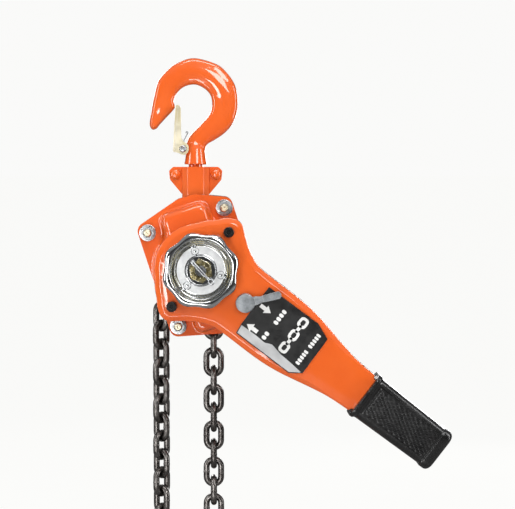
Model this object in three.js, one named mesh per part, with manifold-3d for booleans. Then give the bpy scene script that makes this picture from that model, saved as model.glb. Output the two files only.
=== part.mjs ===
// Lever chain hoist, 1.5 tonne class, as separate pieces with real clearances.
// Millimetres. +Z is up, +X to the right, and the hand wheel faces -Y.
// The origin is the saddle of the top hook, on the axis of its shank.
//
// Most pieces are drawn in "face" space: x right, y up and h towards the hand wheel,
// as the hoist is seen from the front. place() turns face space into the part's frame.

import * as THREE from 'three';
import { mergeVertices } from 'three/addons/utils/BufferGeometryUtils.js';
import Module from 'manifold-3d';

const wasm = await Module();
wasm.setup();

// ---------------------------------------------------------------- driving sizes

const GAP = 0.3;                     // running clearance between neighbouring pieces
const SHAFT = { x: 6.2, z: -204.6 }; // axis of the drive shaft, parallel to Y
const BODY_TILT = 18;                // degrees, frame about the shaft, as it hangs
const LEVER_TILT = -37.6;            // degrees, lever below the horizontal
const FACE = { tilt: 0, x: 0, z: 0 };
const BODY = { tilt: BODY_TILT, ...SHAFT };
const LEVER = { tilt: LEVER_TILT, ...SHAFT };
const DRIVE = { tilt: 0, ...SHAFT };

// section is the half diagonal of the square bar that stands in for the link's round wire.
const LINK = { wire: 7.1, pitch: 21, width: 23.6, bite: 0.9, free: 0.7, section: 4.1 };
const LOAD_RUN = { x: 20, twist: 90, top: -251, upper: 4, lower: 10 };
const SLACK_RUN = { x: -39.5, twist: 45, top: -262, links: 12 };
const SHEAVE = { pockets: 4, rim: 30, half: 14.5, journal: 13, bore: 6.5, groove: 13.4 };
SHEAVE.pitchRadius = 0.5 * Math.hypot(
  LINK.pitch / Math.sin(Math.PI / 8), LINK.wire / Math.cos(Math.PI / 8));

const HOOK = { half: 8, pivot: [-14.3, -72.3], pin: 2.5, neck: 7.9, collar: 12.8 };
const YOKE = { top: -92.6, wing: 5, half: 14, block: 15.3, face: 8.6, rivetX: 22.6, rivetY: -101 };
const YOKE_PIN = { y: -140, r: 6 };
const LOAD_PIN = { y: -137.4, r: 4 };
const LOAD_HOOK_Z = LOAD_RUN.top - LINK.pitch * 13 - LINK.pitch / 2 + LOAD_PIN.r + GAP + LOAD_PIN.y;
const LOAD_END = { tilt: 180, x: LOAD_RUN.x, z: LOAD_HOOK_Z };

const PLATE = { inner: 17, outer: 22 };       // side plates, distance from the chain's plane
const STAY = { a: 45, b: 55, r: 4.4 };        // stay bolt rectangle and radius
const BRAKE_COVER = { base: 22.3, flange: 24.5, front: 47, wall: 2.2, circle: 52.5 };
const GEAR_COVER = { front: 66, wall: 2.2, lobe: 31.5 };
const PAWL_PIN = { a: 16, b: 50, r: 3.5 };
const GEAR = { module: 2.25, small: 8, large: 24 };
GEAR.centres = GEAR.module * (GEAR.small + GEAR.large) / 2;
const SHAFT_R = 6;

const CASE = { rear: 49, split: 64, front: 78, wall: 2.2 };
const SCREW = { u: -1, v: 51, head: 5.8 };
const SELECTOR = { u: 60, v: 1, disc: 10.5, arm: 40, turn: 51.6 };
const GRIP = { start: 224.4, end: 331, half: 25, rim: 27.6, farRim: 26, low: 44.5, high: 82.5 };
const WHEEL = { low: 79.7, high: 97.5, r: 40.7, wave: 1.6, lobes: 8, firstLobe: 17 };
const RING = { wire: 4.2, radius: 36.4, lead: 4.5, seat: 3.9 }; // seat: above the link's inner end

const LOOKS = {
  orange: look('#e8501a', 0.35, 0.2), zinc: look('#b9bcbb', 0.35, 0.9),
  steel: look('#6b6c6d', 0.5, 0.9), chrome: look('#dfe2e4', 0.12, 1),
  chain: look('#4b4744', 0.45, 0.9), rubber: look('#161616', 0.8, 0),
  black: look('#202020', 0.45, 0.6), brass: look('#b79a52', 0.35, 0.9),
  lining: look('#6a4a38', 0.9, 0), label: look('#141414', 0.4, 0),
};

function look(color, roughness, metalness) {
  return new THREE.MeshStandardMaterial({ color, roughness, metalness });
}

// ---------------------------------------------------------------- solids

const degrees = THREE.MathUtils.degToRad;

/** A closed three.js geometry as a manifold, turned the right way out. */
function solid(geometry) {
  geometry.deleteAttribute('normal');
  geometry.deleteAttribute('uv');
  const merged = mergeVertices(geometry, 1e-4);
  const vertProperties = Float32Array.from(merged.attributes.position.array);
  const corners = merged.index.array;
  const kept = [];
  for (let i = 0; i < corners.length; i += 3) {
    const [a, b, c] = [corners[i], corners[i + 1], corners[i + 2]];
    if (a !== b && b !== c && c !== a) kept.push(a, b, c);
  }
  const triVerts = Uint32Array.from(kept);
  if (signedVolume(vertProperties, triVerts) < 0) {
    for (let i = 0; i < triVerts.length; i += 3) {
      [triVerts[i], triVerts[i + 1]] = [triVerts[i + 1], triVerts[i]];
    }
  }
  const mesh = new wasm.Mesh({ numProp: 3, vertProperties, triVerts });
  mesh.merge();
  return new wasm.Manifold(mesh);
}

function signedVolume(p, t) {
  let sum = 0;
  for (let i = 0; i < t.length; i += 3) {
    const [a, b, c] = [t[i] * 3, t[i + 1] * 3, t[i + 2] * 3];
    sum += p[a] * (p[b + 1] * p[c + 2] - p[b + 2] * p[c + 1])
      - p[a + 1] * (p[b] * p[c + 2] - p[b + 2] * p[c])
      + p[a + 2] * (p[b] * p[c + 1] - p[b + 1] * p[c]);
  }
  return sum / 6;
}

function geometryOf(manifold) {
  const { vertProperties, triVerts } = manifold.getMesh();
  const geometry = new THREE.BufferGeometry();
  geometry.setAttribute('position', new THREE.BufferAttribute(vertProperties, 3));
  geometry.setIndex(new THREE.BufferAttribute(triVerts, 1));
  return geometry;
}

const join = (...parts) => parts.reduce((whole, part) => whole.add(part));
const cut = (whole, ...parts) => parts.reduce((left, part) => left.subtract(part), whole);

/** An outline in x, y pushed from h0 to h1, with its front edge rounded by bevel. */
function slab(points, h0, h1, bevel = 0, steps = 2) {
  const shape = new THREE.Shape(points.map(([x, y]) => new THREE.Vector2(x, y)));
  if (!bevel) {
    const plain = new THREE.ExtrudeGeometry(shape, { depth: h1 - h0, bevelEnabled: false });
    return solid(plain.translate(0, 0, h0));
  }
  const geometry = new THREE.ExtrudeGeometry(shape, {
    depth: h1 - h0, bevelEnabled: true, bevelSize: bevel, bevelOffset: -bevel,
    bevelThickness: bevel, bevelSegments: steps,
  });
  const whole = solid(geometry.translate(0, 0, h0 - bevel));
  return cut(whole, box([-900, 900], [-900, 900], [h0 - 90, h0]));
}

/** The same outline rounded on both its faces. */
function pillow(points, h0, h1, bevel, steps = 2) {
  const shape = new THREE.Shape(points.map(([x, y]) => new THREE.Vector2(x, y)));
  const geometry = new THREE.ExtrudeGeometry(shape, {
    depth: h1 - h0 - 2 * bevel, bevelEnabled: true, bevelSize: bevel, bevelOffset: -bevel,
    bevelThickness: bevel, bevelSegments: steps,
  });
  return solid(geometry.translate(0, 0, h0 + bevel));
}

function box([x0, x1], [y0, y1], [h0, h1]) {
  const geometry = new THREE.BoxGeometry(x1 - x0, y1 - y0, h1 - h0);
  return solid(geometry.translate((x0 + x1) / 2, (y0 + y1) / 2, (h0 + h1) / 2));
}

/** A disc about the h axis. */
function disc(r, h0, h1, x = 0, y = 0, sides = 20) {
  const geometry = new THREE.CylinderGeometry(r, r, h1 - h0, sides);
  return solid(geometry.rotateX(Math.PI / 2).translate(x, y, (h0 + h1) / 2));
}

const washer = (rOut, rIn, h0, h1, x = 0, y = 0, sides = 20) =>
  cut(disc(rOut, h0, h1, x, y, sides), disc(rIn, h0 - 1, h1 + 1, x, y, sides));

/** A profile of [r, h] turned about the h axis. It starts and ends on the axis. */
function turned(profile, sides = 20, x = 0, y = 0) {
  const geometry = new THREE.LatheGeometry(profile.map(([r, h]) => new THREE.Vector2(r, h)), sides);
  return solid(geometry.rotateX(Math.PI / 2).translate(x, y, 0));
}

/** A profile of [r, y] turned about the upright axis of face space. */
function turnedUpright(profile, sides = 14) {
  return solid(new THREE.LatheGeometry(profile.map(([r, y]) => new THREE.Vector2(r, y)), sides));
}

/** A round bar along the points in path. A closed loop joins its last point to its first. */
function bar(path, radius, sides, closed = false) {
  const count = path.length;
  const positions = [];
  const index = [];
  let across = null;
  for (let i = 0; i < count; i++) {
    const before = path[closed ? (i + count - 1) % count : Math.max(i - 1, 0)];
    const after = path[closed ? (i + 1) % count : Math.min(i + 1, count - 1)];
    const along = new THREE.Vector3().subVectors(after, before).normalize();
    if (!across) {
      across = new THREE.Vector3(0, 0, 1);
      if (Math.abs(along.z) > 0.9) across.set(0, 1, 0);
    }
    across = across.clone().addScaledVector(along, -across.dot(along)).normalize();
    const other = new THREE.Vector3().crossVectors(along, across);
    for (let j = 0; j < sides; j++) {
      const angle = (2 * Math.PI * (j + 0.5)) / sides;
      const point = path[i].clone().addScaledVector(across, radius * Math.cos(angle))
        .addScaledVector(other, radius * Math.sin(angle));
      positions.push(point.x, point.y, point.z);
    }
  }
  const rows = closed ? count : count - 1;
  for (let i = 0; i < rows; i++) {
    for (let j = 0; j < sides; j++) {
      const [a, b] = [i * sides + j, i * sides + ((j + 1) % sides)];
      const next = ((i + 1) % count) * sides;
      const [c, d] = [next + j, next + ((j + 1) % sides)];
      index.push(a, b, c, b, d, c);
    }
  }
  if (!closed) {
    const last = (count - 1) * sides;
    for (let j = 1; j < sides - 1; j++) {
      index.push(0, j + 1, j, last, last + j, last + j + 1);
    }
  }
  const geometry = new THREE.BufferGeometry();
  geometry.setAttribute('position', new THREE.Float32BufferAttribute(positions, 3));
  geometry.setIndex(index);
  return solid(geometry);
}

// ---------------------------------------------------------------- outlines

/** A polygon of [x, y, r] corners with each corner rounded by its r. */
function rounded(corners, steps = 4) {
  const out = [];
  corners.forEach(([x, y, r], i) => {
    if (!r) { out.push([x, y]); return; }
    const here = new THREE.Vector2(x, y);
    const before = new THREE.Vector2(...corners.at(i - 1)).sub(here).normalize();
    const after = new THREE.Vector2(...corners[(i + 1) % corners.length]).sub(here).normalize();
    const half = Math.acos(THREE.MathUtils.clamp(before.dot(after), -1, 1)) / 2;
    const reach = r / Math.tan(half);
    const centre = before.clone().add(after).normalize().multiplyScalar(r / Math.sin(half)).add(here);
    const start = before.multiplyScalar(reach).add(here).sub(centre);
    const end = after.multiplyScalar(reach).add(here).sub(centre);
    const from = start.angle();
    let sweep = end.angle() - from;
    if (sweep > Math.PI) sweep -= 2 * Math.PI;
    if (sweep < -Math.PI) sweep += 2 * Math.PI;
    for (let k = 0; k <= steps; k++) {
      const angle = from + (sweep * k) / steps;
      out.push([centre.x + r * Math.cos(angle), centre.y + r * Math.sin(angle)]);
    }
  });
  return out;
}

/** A smooth line through the points, as count + 1 points. */
function smooth(points, count) {
  const curve = new THREE.CatmullRomCurve3(
    points.map(([x, y]) => new THREE.Vector3(x, y, 0)), false, 'centripetal');
  return curve.getSpacedPoints(count).map((p) => [p.x, p.y]);
}

/** An outline moved inwards by d. The outline runs anticlockwise. */
function inset(points, d) {
  return points.map(([x, y], i) => {
    const [px, py] = points.at(i - 1);
    const [nx, ny] = points[(i + 1) % points.length];
    const first = new THREE.Vector2(py - y, x - px).normalize();
    const second = new THREE.Vector2(y - ny, nx - x).normalize();
    const normal = first.clone().add(second).normalize();
    const reach = Math.min(d / Math.max(normal.dot(second), 0.35), 2 * d);
    return [x + normal.x * reach, y + normal.y * reach];
  });
}

const turnedPoint = (x, y, angle) => [
  x * Math.cos(degrees(angle)) - y * Math.sin(degrees(angle)),
  x * Math.sin(degrees(angle)) + y * Math.cos(degrees(angle)),
];

const polygon = (sides, r, first = 0) => Array.from({ length: sides }, (_, k) =>
  turnedPoint(r, 0, first + (360 * k) / sides));

/** A gear outline with straight-sided teeth. The first tooth points at angle first. */
function gearOutline(teeth, first = 0, tip = 0.85, root = 1.2) {
  const r = (GEAR.module * teeth) / 2;
  const step = 360 / teeth;
  const out = [];
  for (let k = 0; k < teeth; k++) {
    const at = first + k * step;
    const [low, high] = [r - root * GEAR.module, r + tip * GEAR.module];
    out.push(turnedPoint(low, 0, at - step * 0.29), turnedPoint(high, 0, at - step * 0.1));
    out.push(turnedPoint(high, 0, at + step * 0.1), turnedPoint(low, 0, at + step * 0.29));
  }
  return out;
}

/** A ratchet wheel: flat-topped teeth with open notches between them. */
function ratchetOutline(teeth, rTip, rRoot, notchAt) {
  const step = 360 / teeth;
  const out = [];
  for (let k = 0; k < teeth; k++) {
    const at = notchAt + k * step;
    out.push(turnedPoint(rRoot, 0, at - step * 0.24), turnedPoint(rRoot, 0, at + step * 0.2));
    out.push(turnedPoint(rTip, 0, at + step * 0.36), turnedPoint(rTip, 0, at + step * 0.66));
  }
  return out;
}

// ---------------------------------------------------------------- hooks and yokes

const HOOK_OUTER = [
  [-43.8, -49.4], [-48.6, -50.8], [-51.8, -44.2], [-49, -26.2], [-46.4, -12.2], [-41.8, 3.9],
  [-32.8, 14.9], [-20.7, 24], [-1.6, 29.7], [23.5, 23], [35.5, 13.1], [43.7, 1], [47.1, -12.1],
  [47.5, -24.1], [45.1, -36.2], [39.6, -47.2], [30.5, -56.2], [20.4, -62.8], [12.3, -68],
  [10.6, -74.5],
];
const HOOK_INNER = [
  [-10.8, -74.5], [-10, -66], [-5.8, -56.8], [2.3, -48.7], [10.3, -40.2], [15.4, -34.2],
  [18.2, -26.2], [18.5, -19.1], [16.9, -12.1], [11.4, -5.6], [3.6, -1.1], [-3.2, 0],
  [-11.7, -2], [-18.8, -7.1], [-23.3, -14.1], [-24.6, -20.1], [-23.6, -26.4], [-33, -37],
  [-40, -44.6],
];

function hook() {
  const outline = [...smooth(HOOK_OUTER, 21), ...smooth(HOOK_INNER, 18)];
  const { neck, collar, pivot, half } = HOOK;
  const shank = turnedUpright([
    [0, -70], [10.6, -72.6], [collar, -89.8], [neck, -90.2], [neck, -112],
    [12, -112.4], [12, -119.5], [0, -119.5],
  ]);
  const lug = disc(6.3, -6, 6, ...pivot, 14);
  const whole = join(pillow(outline, -half, half, 3.2, 1), shank, lug);
  return cut(whole, disc(HOOK.pin + GAP, -20, 20, ...pivot, 12));
}

function latch() {
  const outline = rounded([
    [-25.4, -75.6, 1], [-20.5, -76.6, 3], [-15, -79.3, 4], [-8, -79, 6], [-7.8, -66.4, 6],
    [-13.2, -64.8, 3], [-16.4, -59.5, 3], [-16.8, -26, 1.5], [-18.6, -23.2, 1], [-22.2, -23.4, 1],
    [-24.3, -52, 20],
  ], 2);
  const hollow = [[-24, -95], [20, -95], [20, -10], [-17, -10], [-20.7, -24.2], [-22.8, -52],
    [-24, -75]];
  const whole = slab(outline, -9.9, 9.9);
  return cut(whole, slab(hollow, -8.4, 8.4), disc(HOOK.pin + GAP, -20, 20, ...HOOK.pivot, 16));
}

function latchPin() {
  const r = HOOK.pin;
  return turned([[0, -12.4], [3, -12.4], [4, -11.4], [4, -10.2], [r, -10.2], [r, 10.2],
    [4, 10.2], [4, 11.4], [3, 12.4], [0, 12.4]], 12, ...HOOK.pivot);
}

function latchSpring() {
  const [x, y] = HOOK.pivot;
  const path = [];
  for (let k = 0; k <= 16; k++) {
    const [dx, dy] = turnedPoint(3.9, 0, 40 - (k * 720) / 16);
    path.push(new THREE.Vector3(x + dx, y + dy, 7.9 - (k * 1.5) / 16));
  }
  path.push(new THREE.Vector3(x + 1, y + 9, 6.4), new THREE.Vector3(x + 6.3, y + 20.5, 6.4));
  return bar(path, 0.34, 4);
}

/** The yoke as one block, before it is split into two pressed halves. */
function yokeBlock(outline, pin, slot) {
  const wings = slab(outline, -YOKE.wing, YOKE.wing);
  const section = [[YOKE.block, 8], [YOKE.face, YOKE.half], [-YOKE.face, YOKE.half],
    [-YOKE.block, 8], [-YOKE.block, -8], [-YOKE.face, -YOKE.half], [YOKE.face, -YOKE.half],
    [YOKE.block, -8]];
  const shape = new THREE.Shape(section.map(([x, h]) => new THREE.Vector2(x, h)));
  const column = new THREE.ExtrudeGeometry(shape, { depth: 70, bevelEnabled: false });
  const block = solid(column.rotateX(-Math.PI / 2).translate(0, YOKE.top - 70, 0));
  const profile = slab(outline, -30, 30);
  const cavity = turnedUpright([[0, -80], [8.5, -80], [8.5, -111.5], [12.5, -111.8],
    [12.5, -120.2], [0, -120.2]]);
  const whole = cut(join(wings, block.intersect(profile)), cavity,
    disc(pin.r + GAP, -40, 40, 0, pin.y, 14));
  return slot ? cut(whole, slot) : whole;
}

const WINGS = [[-25.6, YOKE.top, 3], [-30, -97, 3], [-29, -107, 4], [-15.3, -123.5, 2]];
const mirrored = (half) => [...half, ...half.map(([x, ...rest]) => [-x, ...rest]).reverse()];

const topYoke = yokeBlock(
  rounded(mirrored([...WINGS, [-15.3, -150, 3]]), 2), YOKE_PIN);
const loadYoke = yokeBlock(
  rounded(mirrored([...WINGS, [-8.8, -134, 3], [-8.8, LOAD_PIN.y - 8.8, 8.5]]), 3), LOAD_PIN,
  join(box([-40, 40], [-190, LOAD_PIN.y], [-4.2, 4.2]), disc(12.6, -4.2, 4.2, 0, LOAD_PIN.y, 18)));

const frontHalf = (whole) => whole.intersect(box([-90, 90], [-200, 0], [GAP / 2, 40]));
const rearHalf = (whole) => whole.intersect(box([-90, 90], [-200, 0], [-40, -GAP / 2]));
const drilled = (half) => cut(half, ...[-1, 1].map(
  (side) => disc(3.3, -20, 20, side * YOKE.rivetX, YOKE.rivetY, 12)));

function yokeRivet(side) {
  const dome = [[0, 9.4], [3.2, 8.9], [5.4, 7.2], [6.1, 5.2], [3, 5.2]];
  const back = dome.map(([r, h]) => [r, -h]).reverse();
  return turned([...dome, ...back], 12, side * YOKE.rivetX, YOKE.rivetY);
}

// ---------------------------------------------------------------- chain

/** One link between two wire centres on an upright line, at a twist about it. */
function link(x, zTop, zBottom, twist) {
  const r = (LINK.width - LINK.wire) / 2;
  const path = [];
  for (const [side, z] of [[1, zTop - r], [-1, zBottom + r]]) {
    for (let k = 0; k <= 4; k++) {
      const angle = (Math.PI * k) / 4;
      path.push([side * r * Math.cos(angle), z + side * r * Math.sin(angle)]);
    }
  }
  const [c, s] = [Math.cos(degrees(twist)), Math.sin(degrees(twist))];
  return bar(path.map(([w, z]) => new THREE.Vector3(x + w * c, z, -w * s)), LINK.section, 4, true);
}

/** Links hanging one in the next. Each bites a little into its neighbour, so they are one. */
function run(x, top, count, twist) {
  const reach = (LINK.pitch + LINK.wire) / 2;
  const links = Array.from({ length: count }, (_, k) => {
    const z = top - k * LINK.pitch;
    const upper = k === 0 ? LINK.free : -LINK.bite;
    const lower = k === count - 1 ? LINK.free : -LINK.bite;
    return link(x, z + reach + upper, z - reach - lower, twist + (k % 2) * 90);
  });
  return join(...links);
}

/** The five links that lie over the load sheave. */
function wrappedChain() {
  const flat = Math.sqrt(SHEAVE.pitchRadius ** 2 - (LINK.pitch / 2) ** 2);
  const links = [];
  for (let k = 0; k < 5; k++) {
    const upright = k % 2 === 1;
    const bite = upright ? 1.6 : 0;
    const reach = (LINK.pitch + LINK.wire) / 2 + bite;
    const geometry = geometryOf(link(0, reach, -reach, upright ? 0 : 90));
    geometry.translate(flat + (upright ? 0.4 : 0), 0, 0).rotateZ(degrees(k * 45));
    links.push(solid(geometry));
  }
  return join(...links);
}

function endRing() {
  const turns = 2;
  const path = [];
  for (let k = 0; k <= 36; k++) {
    const t = k / 36;
    const angle = 2 * Math.PI * turns * t;
    const ramp = THREE.MathUtils.smoothstep(t, 0.4, 0.6) - 0.5;
    path.push(new THREE.Vector3(RING.radius * Math.sin(angle), -RING.radius * Math.cos(angle),
      ramp * RING.lead));
  }
  return bar(path, RING.wire / 2, 6);
}

// ---------------------------------------------------------------- frame

const FRAME_OUTLINE = rounded([
  [-55.5, -64.5, 10], [0, -78.5, 14], [55.5, -64.5, 10], [55.5, 64, 10], [18, 80, 8],
  [-2, 80.3, 8], [-55.5, 64.5, 10],
], 3);
const STAYS = [[-1, 1], [1, 1], [1, -1], [-1, -1]].map(([i, j]) => [i * STAY.a, j * STAY.b]);
const stayHoles = (h0, h1) => STAYS.map(([a, b]) => disc(STAY.r + 0.5, h0, h1, a, b, 10));

/** The yoke pin's place, seen from the frame. */
const PIN_IN_BODY = turnedPoint(-SHAFT.x, YOKE_PIN.y - SHAFT.z, -BODY_TILT);

function sidePlate(h0, h1) {
  return cut(slab(FRAME_OUTLINE, h0, h1), disc(17.3, h0 - 1, h1 + 1),
    disc(YOKE_PIN.r + GAP, h0 - 1, h1 + 1, ...PIN_IN_BODY, 14), ...stayHoles(h0 - 1, h1 + 1));
}

function frontPlate() {
  const studs = [1, -1].map((i) =>
    disc(PAWL_PIN.r, PLATE.outer - 0.5, 40, i * PAWL_PIN.a, i * PAWL_PIN.b, 12));
  return join(sidePlate(PLATE.inner, PLATE.outer), ...studs);
}

function rearPlate() {
  const bearings = [1, -1].map((i) => disc(4.4, -30, -10, 0, i * GEAR.centres, 12));
  return cut(sidePlate(-PLATE.outer, -PLATE.inner), ...bearings);
}

function lobes(circle, halfWidth, reach, radius, h0, h1, bevel) {
  const tall = rounded([[-halfWidth, -reach, radius], [halfWidth, -reach, radius],
    [halfWidth, reach, radius], [-halfWidth, reach, radius]], 3);
  return join(slab(polygon(24, circle, 7.5), h0, h1, bevel, 1), slab(tall, h0, h1, bevel, 1));
}

function brakeCover() {
  const { base, flange, front, wall, circle } = BRAKE_COVER;
  const shell = join(slab(FRAME_OUTLINE, base, flange), lobes(circle, 27, 70, 10, base, front, 4));
  const hollow = lobes(circle - wall, 27 - wall, 70 - wall, 8, base - 5, front - wall, 3);
  return cut(shell, hollow, disc(20, 30, 60), ...stayHoles(10, 30));
}

/** The gear cover, drawn facing forwards; place() turns it to the back. */
function gearCover() {
  const { base, flange } = BRAKE_COVER;
  const { front, wall, lobe } = GEAR_COVER;
  const reach = GEAR.centres + lobe;
  const outer = lobes(46, lobe, reach, lobe - 4, base, front, 4);
  const inner = lobes(46 - wall, lobe - wall, reach - wall, lobe - 5, base - 5, front - wall, 3);
  const flangeOutline = FRAME_OUTLINE.map(([a, b]) => [-a, b]).reverse();
  const shell = cut(join(slab(flangeOutline, base, flange), outer), inner, ...stayHoles(10, 30));
  const bosses = [[0, SHAFT_R, 12], [GEAR.centres, 4, 8], [-GEAR.centres, 4, 8]].map(
    ([y, r, rOut]) => washer(rOut, r + GAP, 52, front - 1, 0, y, 14));
  return join(shell, ...bosses);
}

function stayBolt(a, b) {
  const head = slab(polygon(6, 8).map(([x, y]) => [x + a, y + b]), -31, -24.8);
  return join(head, disc(STAY.r, -25, 36, a, b, 10));
}

function stayNut(a, b) {
  const hex = slab(polygon(6, 8, 12).map(([x, y]) => [x + a, y + b]), 26.2, 33);
  return cut(join(disc(9.3, 24.8, 26.4, a, b, 16), hex), disc(STAY.r + 0.4, 20, 40, a, b, 10));
}

function arcPlate(r0, r1, from, to, half) {
  const points = [];
  for (let k = 0; k <= 12; k++) points.push(turnedPoint(r1, 0, from + ((to - from) * k) / 12));
  for (let k = 12; k >= 0; k--) points.push(turnedPoint(r0, 0, from + ((to - from) * k) / 12));
  return slab(points, -half, half);
}

function chainStripper() {
  const block = cut(box([-24, -5], [-62, -24], [-16.6, 16.6]), disc(35, -20, 20));
  const tongue = box([-24, -17.6], [-36, -19], [-3.2, 3.2]);
  return join(block, tongue);
}

function brakePawl(side) {
  const { a, b, r } = PAWL_PIN;
  const arm = rounded([[-6.6, 38.4, 1], [-4.6, 34.8, 0.5], [1, 36.4, 2], [13, 43.5, 2],
    [20, 49, 2.5], [14, 55, 3]], 3).map(([x, y]) => [x * side, y * side]);
  const body = join(slab(arm, 32.8, 38.4), disc(7, 32.8, 38.4, side * a, side * b, 14));
  return cut(body, disc(r + GAP, 30, 42, side * a, side * b, 12));
}

// ---------------------------------------------------------------- sheave and gears

function loadSheave() {
  const { rim, half, journal, bore, groove, pockets, pitchRadius } = SHEAVE;
  let body = turned([[0, -35], [journal, -35], [journal, -half], [rim, -half], [rim, half],
    [journal, half], [journal, 23], [0, 23]], 24);
  body = cut(body, washer(rim + 9, groove, -4.3, 4.3));
  const flat = Math.sqrt(pitchRadius ** 2 - (LINK.pitch / 2) ** 2) - LINK.wire / 2 - GAP;
  for (let k = 0; k < pockets; k++) {
    const pocket = geometryOf(box([flat, 60], [-18.2, 18.2], [-12.3, 12.3]));
    body = cut(body, solid(pocket.rotateZ(degrees(k * 90))));
  }
  return cut(body, disc(bore, -60, 60, 0, 0, 16));
}

const gear = (teeth, first, h0, h1) => slab(gearOutline(teeth, first), h0, h1);

/** An idler: its large gear meets the drive pinion, and its small one the load gear. */
function idler(side) {
  const toShaft = side > 0 ? 270 : 90;
  const large = gear(GEAR.large, toShaft + 180 / GEAR.large, -43, -37);
  const small = gear(GEAR.small, toShaft + 180 / GEAR.small, -36.8, -25.8);
  const pin = disc(4, -60, -17.4, 0, 0, 12);
  const whole = geometryOf(join(large, small, pin));
  return solid(whole.translate(0, side * GEAR.centres, 0));
}

const loadGear = () => cut(gear(GEAR.large, 90, -34.2, -26),
  disc(SHEAVE.journal + GAP, -60, 0, 0, 0, 24));

function pinionShaft() {
  const shaft = turned([[0, -60], [SHAFT_R, -60], [SHAFT_R, 88], [5.7, 89], [5.7, 102],
    [4.9, 103], [0, 103]], 16);
  const whole = join(shaft, gear(GEAR.small, 90, -44, -36.4));
  return cut(whole, cotterHole());
}

const COTTER = { turn: -40, h: 97.6 };

function cotterHole() {
  const bore = new THREE.CylinderGeometry(1.75, 1.75, 40, 10).rotateZ(Math.PI / 2);
  return solid(bore.rotateZ(degrees(COTTER.turn)).translate(0, 0, COTTER.h));
}

function cotterPin() {
  const pin = new THREE.CylinderGeometry(1.4, 1.4, 31, 10).rotateZ(Math.PI / 2).translate(0.5, 0, 0);
  const eye = new THREE.TorusGeometry(2.6, 1.1, 6, 12).translate(-16.6, 0, 0);
  const whole = join(solid(pin), solid(eye));
  return solid(geometryOf(whole).rotateZ(degrees(COTTER.turn)).translate(0, 0, COTTER.h));
}

// ---------------------------------------------------------------- brake and hand wheel

const ratchetDisc = () => cut(
  slab(ratchetOutline(12, 34, 29.5, 98), 32.7, 38.5), disc(12.5, 0, 60, 0, 0, 20));

const brakeHub = () => cut(
  join(disc(30, 26, 30), disc(12, 25, 40.8, 0, 0, 20)), disc(SHAFT_R + GAP, 0, 60, 0, 0, 16));

function changeGear() {
  const teeth = slab(ratchetOutline(12, 24, 20, 15), 54, 66);
  const whole = join(disc(28, 41.3, 43.9), disc(16, 43, 79.3, 0, 0, 20), teeth);
  return cut(whole, disc(SHAFT_R + GAP, 0, 90, 0, 0, 16));
}

function handWheel() {
  const { low, high, r, wave, lobes: count, firstLobe } = WHEEL;
  const outline = Array.from({ length: 40 }, (_, k) => {
    const angle = (360 * k) / 40;
    return turnedPoint(r + wave * Math.cos(degrees(count * (angle - firstLobe))), 0, angle);
  });
  const body = slab(outline, low, high, 4, 2);
  const cup = turned([[0, 130], [33.2, 130], [33.2, high - 0.6], [30, 90], [26.6, 86.4],
    [16.2, 86.4], [15.4, 88], [15.4, 89.6], [0, 89.6]], 24);
  return cut(body, cup, disc(SHAFT_R + GAP, 0, 120, 0, 0, 16));
}

function castleNut() {
  const nut = slab(polygon(6, 14.4, 20), 89.9, 99.6, 1, 1);
  const slots = [0, 60, 120].map((turn) => {
    const slot = geometryOf(box([-20, 20], [-1.8, 1.8], [COTTER.h - 1.9, 120]));
    return solid(slot.rotateZ(degrees(turn + COTTER.turn)));
  });
  return cut(nut, ...slots, disc(SHAFT_R + 0.2, 0, 120, 0, 0, 16));
}

// ---------------------------------------------------------------- lever

/** Half of the pressed lever's outline, from its head to inside the grip. */
const LEVER_HALF = [
  [-36, 36], [-28, 46], [-19.5, 54], [-12, 62], [-3, 66.8], [6, 66.2], [14, 60], [23, 53],
  [33, 47], [44, 42.4], [56, 40.4], [105, 40.2], [131, 38], [153, 33.9], [173, 29.6],
  [195, 25.6], [221, 23.8], [223.4, 20], [317, 20],
];

function leverOutline() {
  const head = Array.from({ length: 9 }, (_, k) => turnedPoint(51, 0, 225 - (k * 90) / 8));
  const upper = LEVER_HALF.slice(1);
  const lower = LEVER_HALF.slice(1).map(([u, v]) => [u, -v]).reverse();
  return [...head, ...upper, ...lower].reverse();
}

const LEVER_OUTLINE = leverOutline();
const screwHoles = () => [1, -1].map((i) => disc(3.3, 0, 120, SCREW.u, i * SCREW.v, 14));

function leverFrontShell() {
  const { split, front, wall } = CASE;
  const shell = slab(LEVER_OUTLINE, split + GAP / 2, front, 4.5, 1);
  const hollow = slab(inset(LEVER_OUTLINE, wall), split - 5, front - wall, 3.5, 1);
  return cut(shell, hollow, disc(28, 0, 120, 0, 0, 24), ...screwHoles(),
    disc(4, 0, 120, SELECTOR.u, SELECTOR.v, 18));
}

/** The rear shell, drawn as its mirror and turned over. */
function leverRearShell() {
  const { rear, split, wall } = CASE;
  const depth = split - GAP / 2 - rear;
  const shell = cut(slab(LEVER_OUTLINE, 0, depth, 3, 1),
    slab(inset(LEVER_OUTLINE, wall), -5, depth - wall, 2, 1));
  const turnedOver = geometryOf(shell).rotateX(Math.PI).translate(0, 0, rear + depth);
  return cut(solid(turnedOver), disc(24, 0, 120, 0, 0, 24), ...screwHoles());
}

function casingScrew(side) {
  const y = side * SCREW.v;
  const { head, u } = SCREW;
  const screw = turned([[0, 48], [3, 48], [3, 78.4], [head, 78.4], [head, 82.4],
    [head - 0.8, 83.2], [0, 83.2]], 16, u, y);
  return cut(screw, slab(polygon(6, 2.9).map(([x, dy]) => [x + u, dy + y]), 80.6, 90));
}

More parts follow.
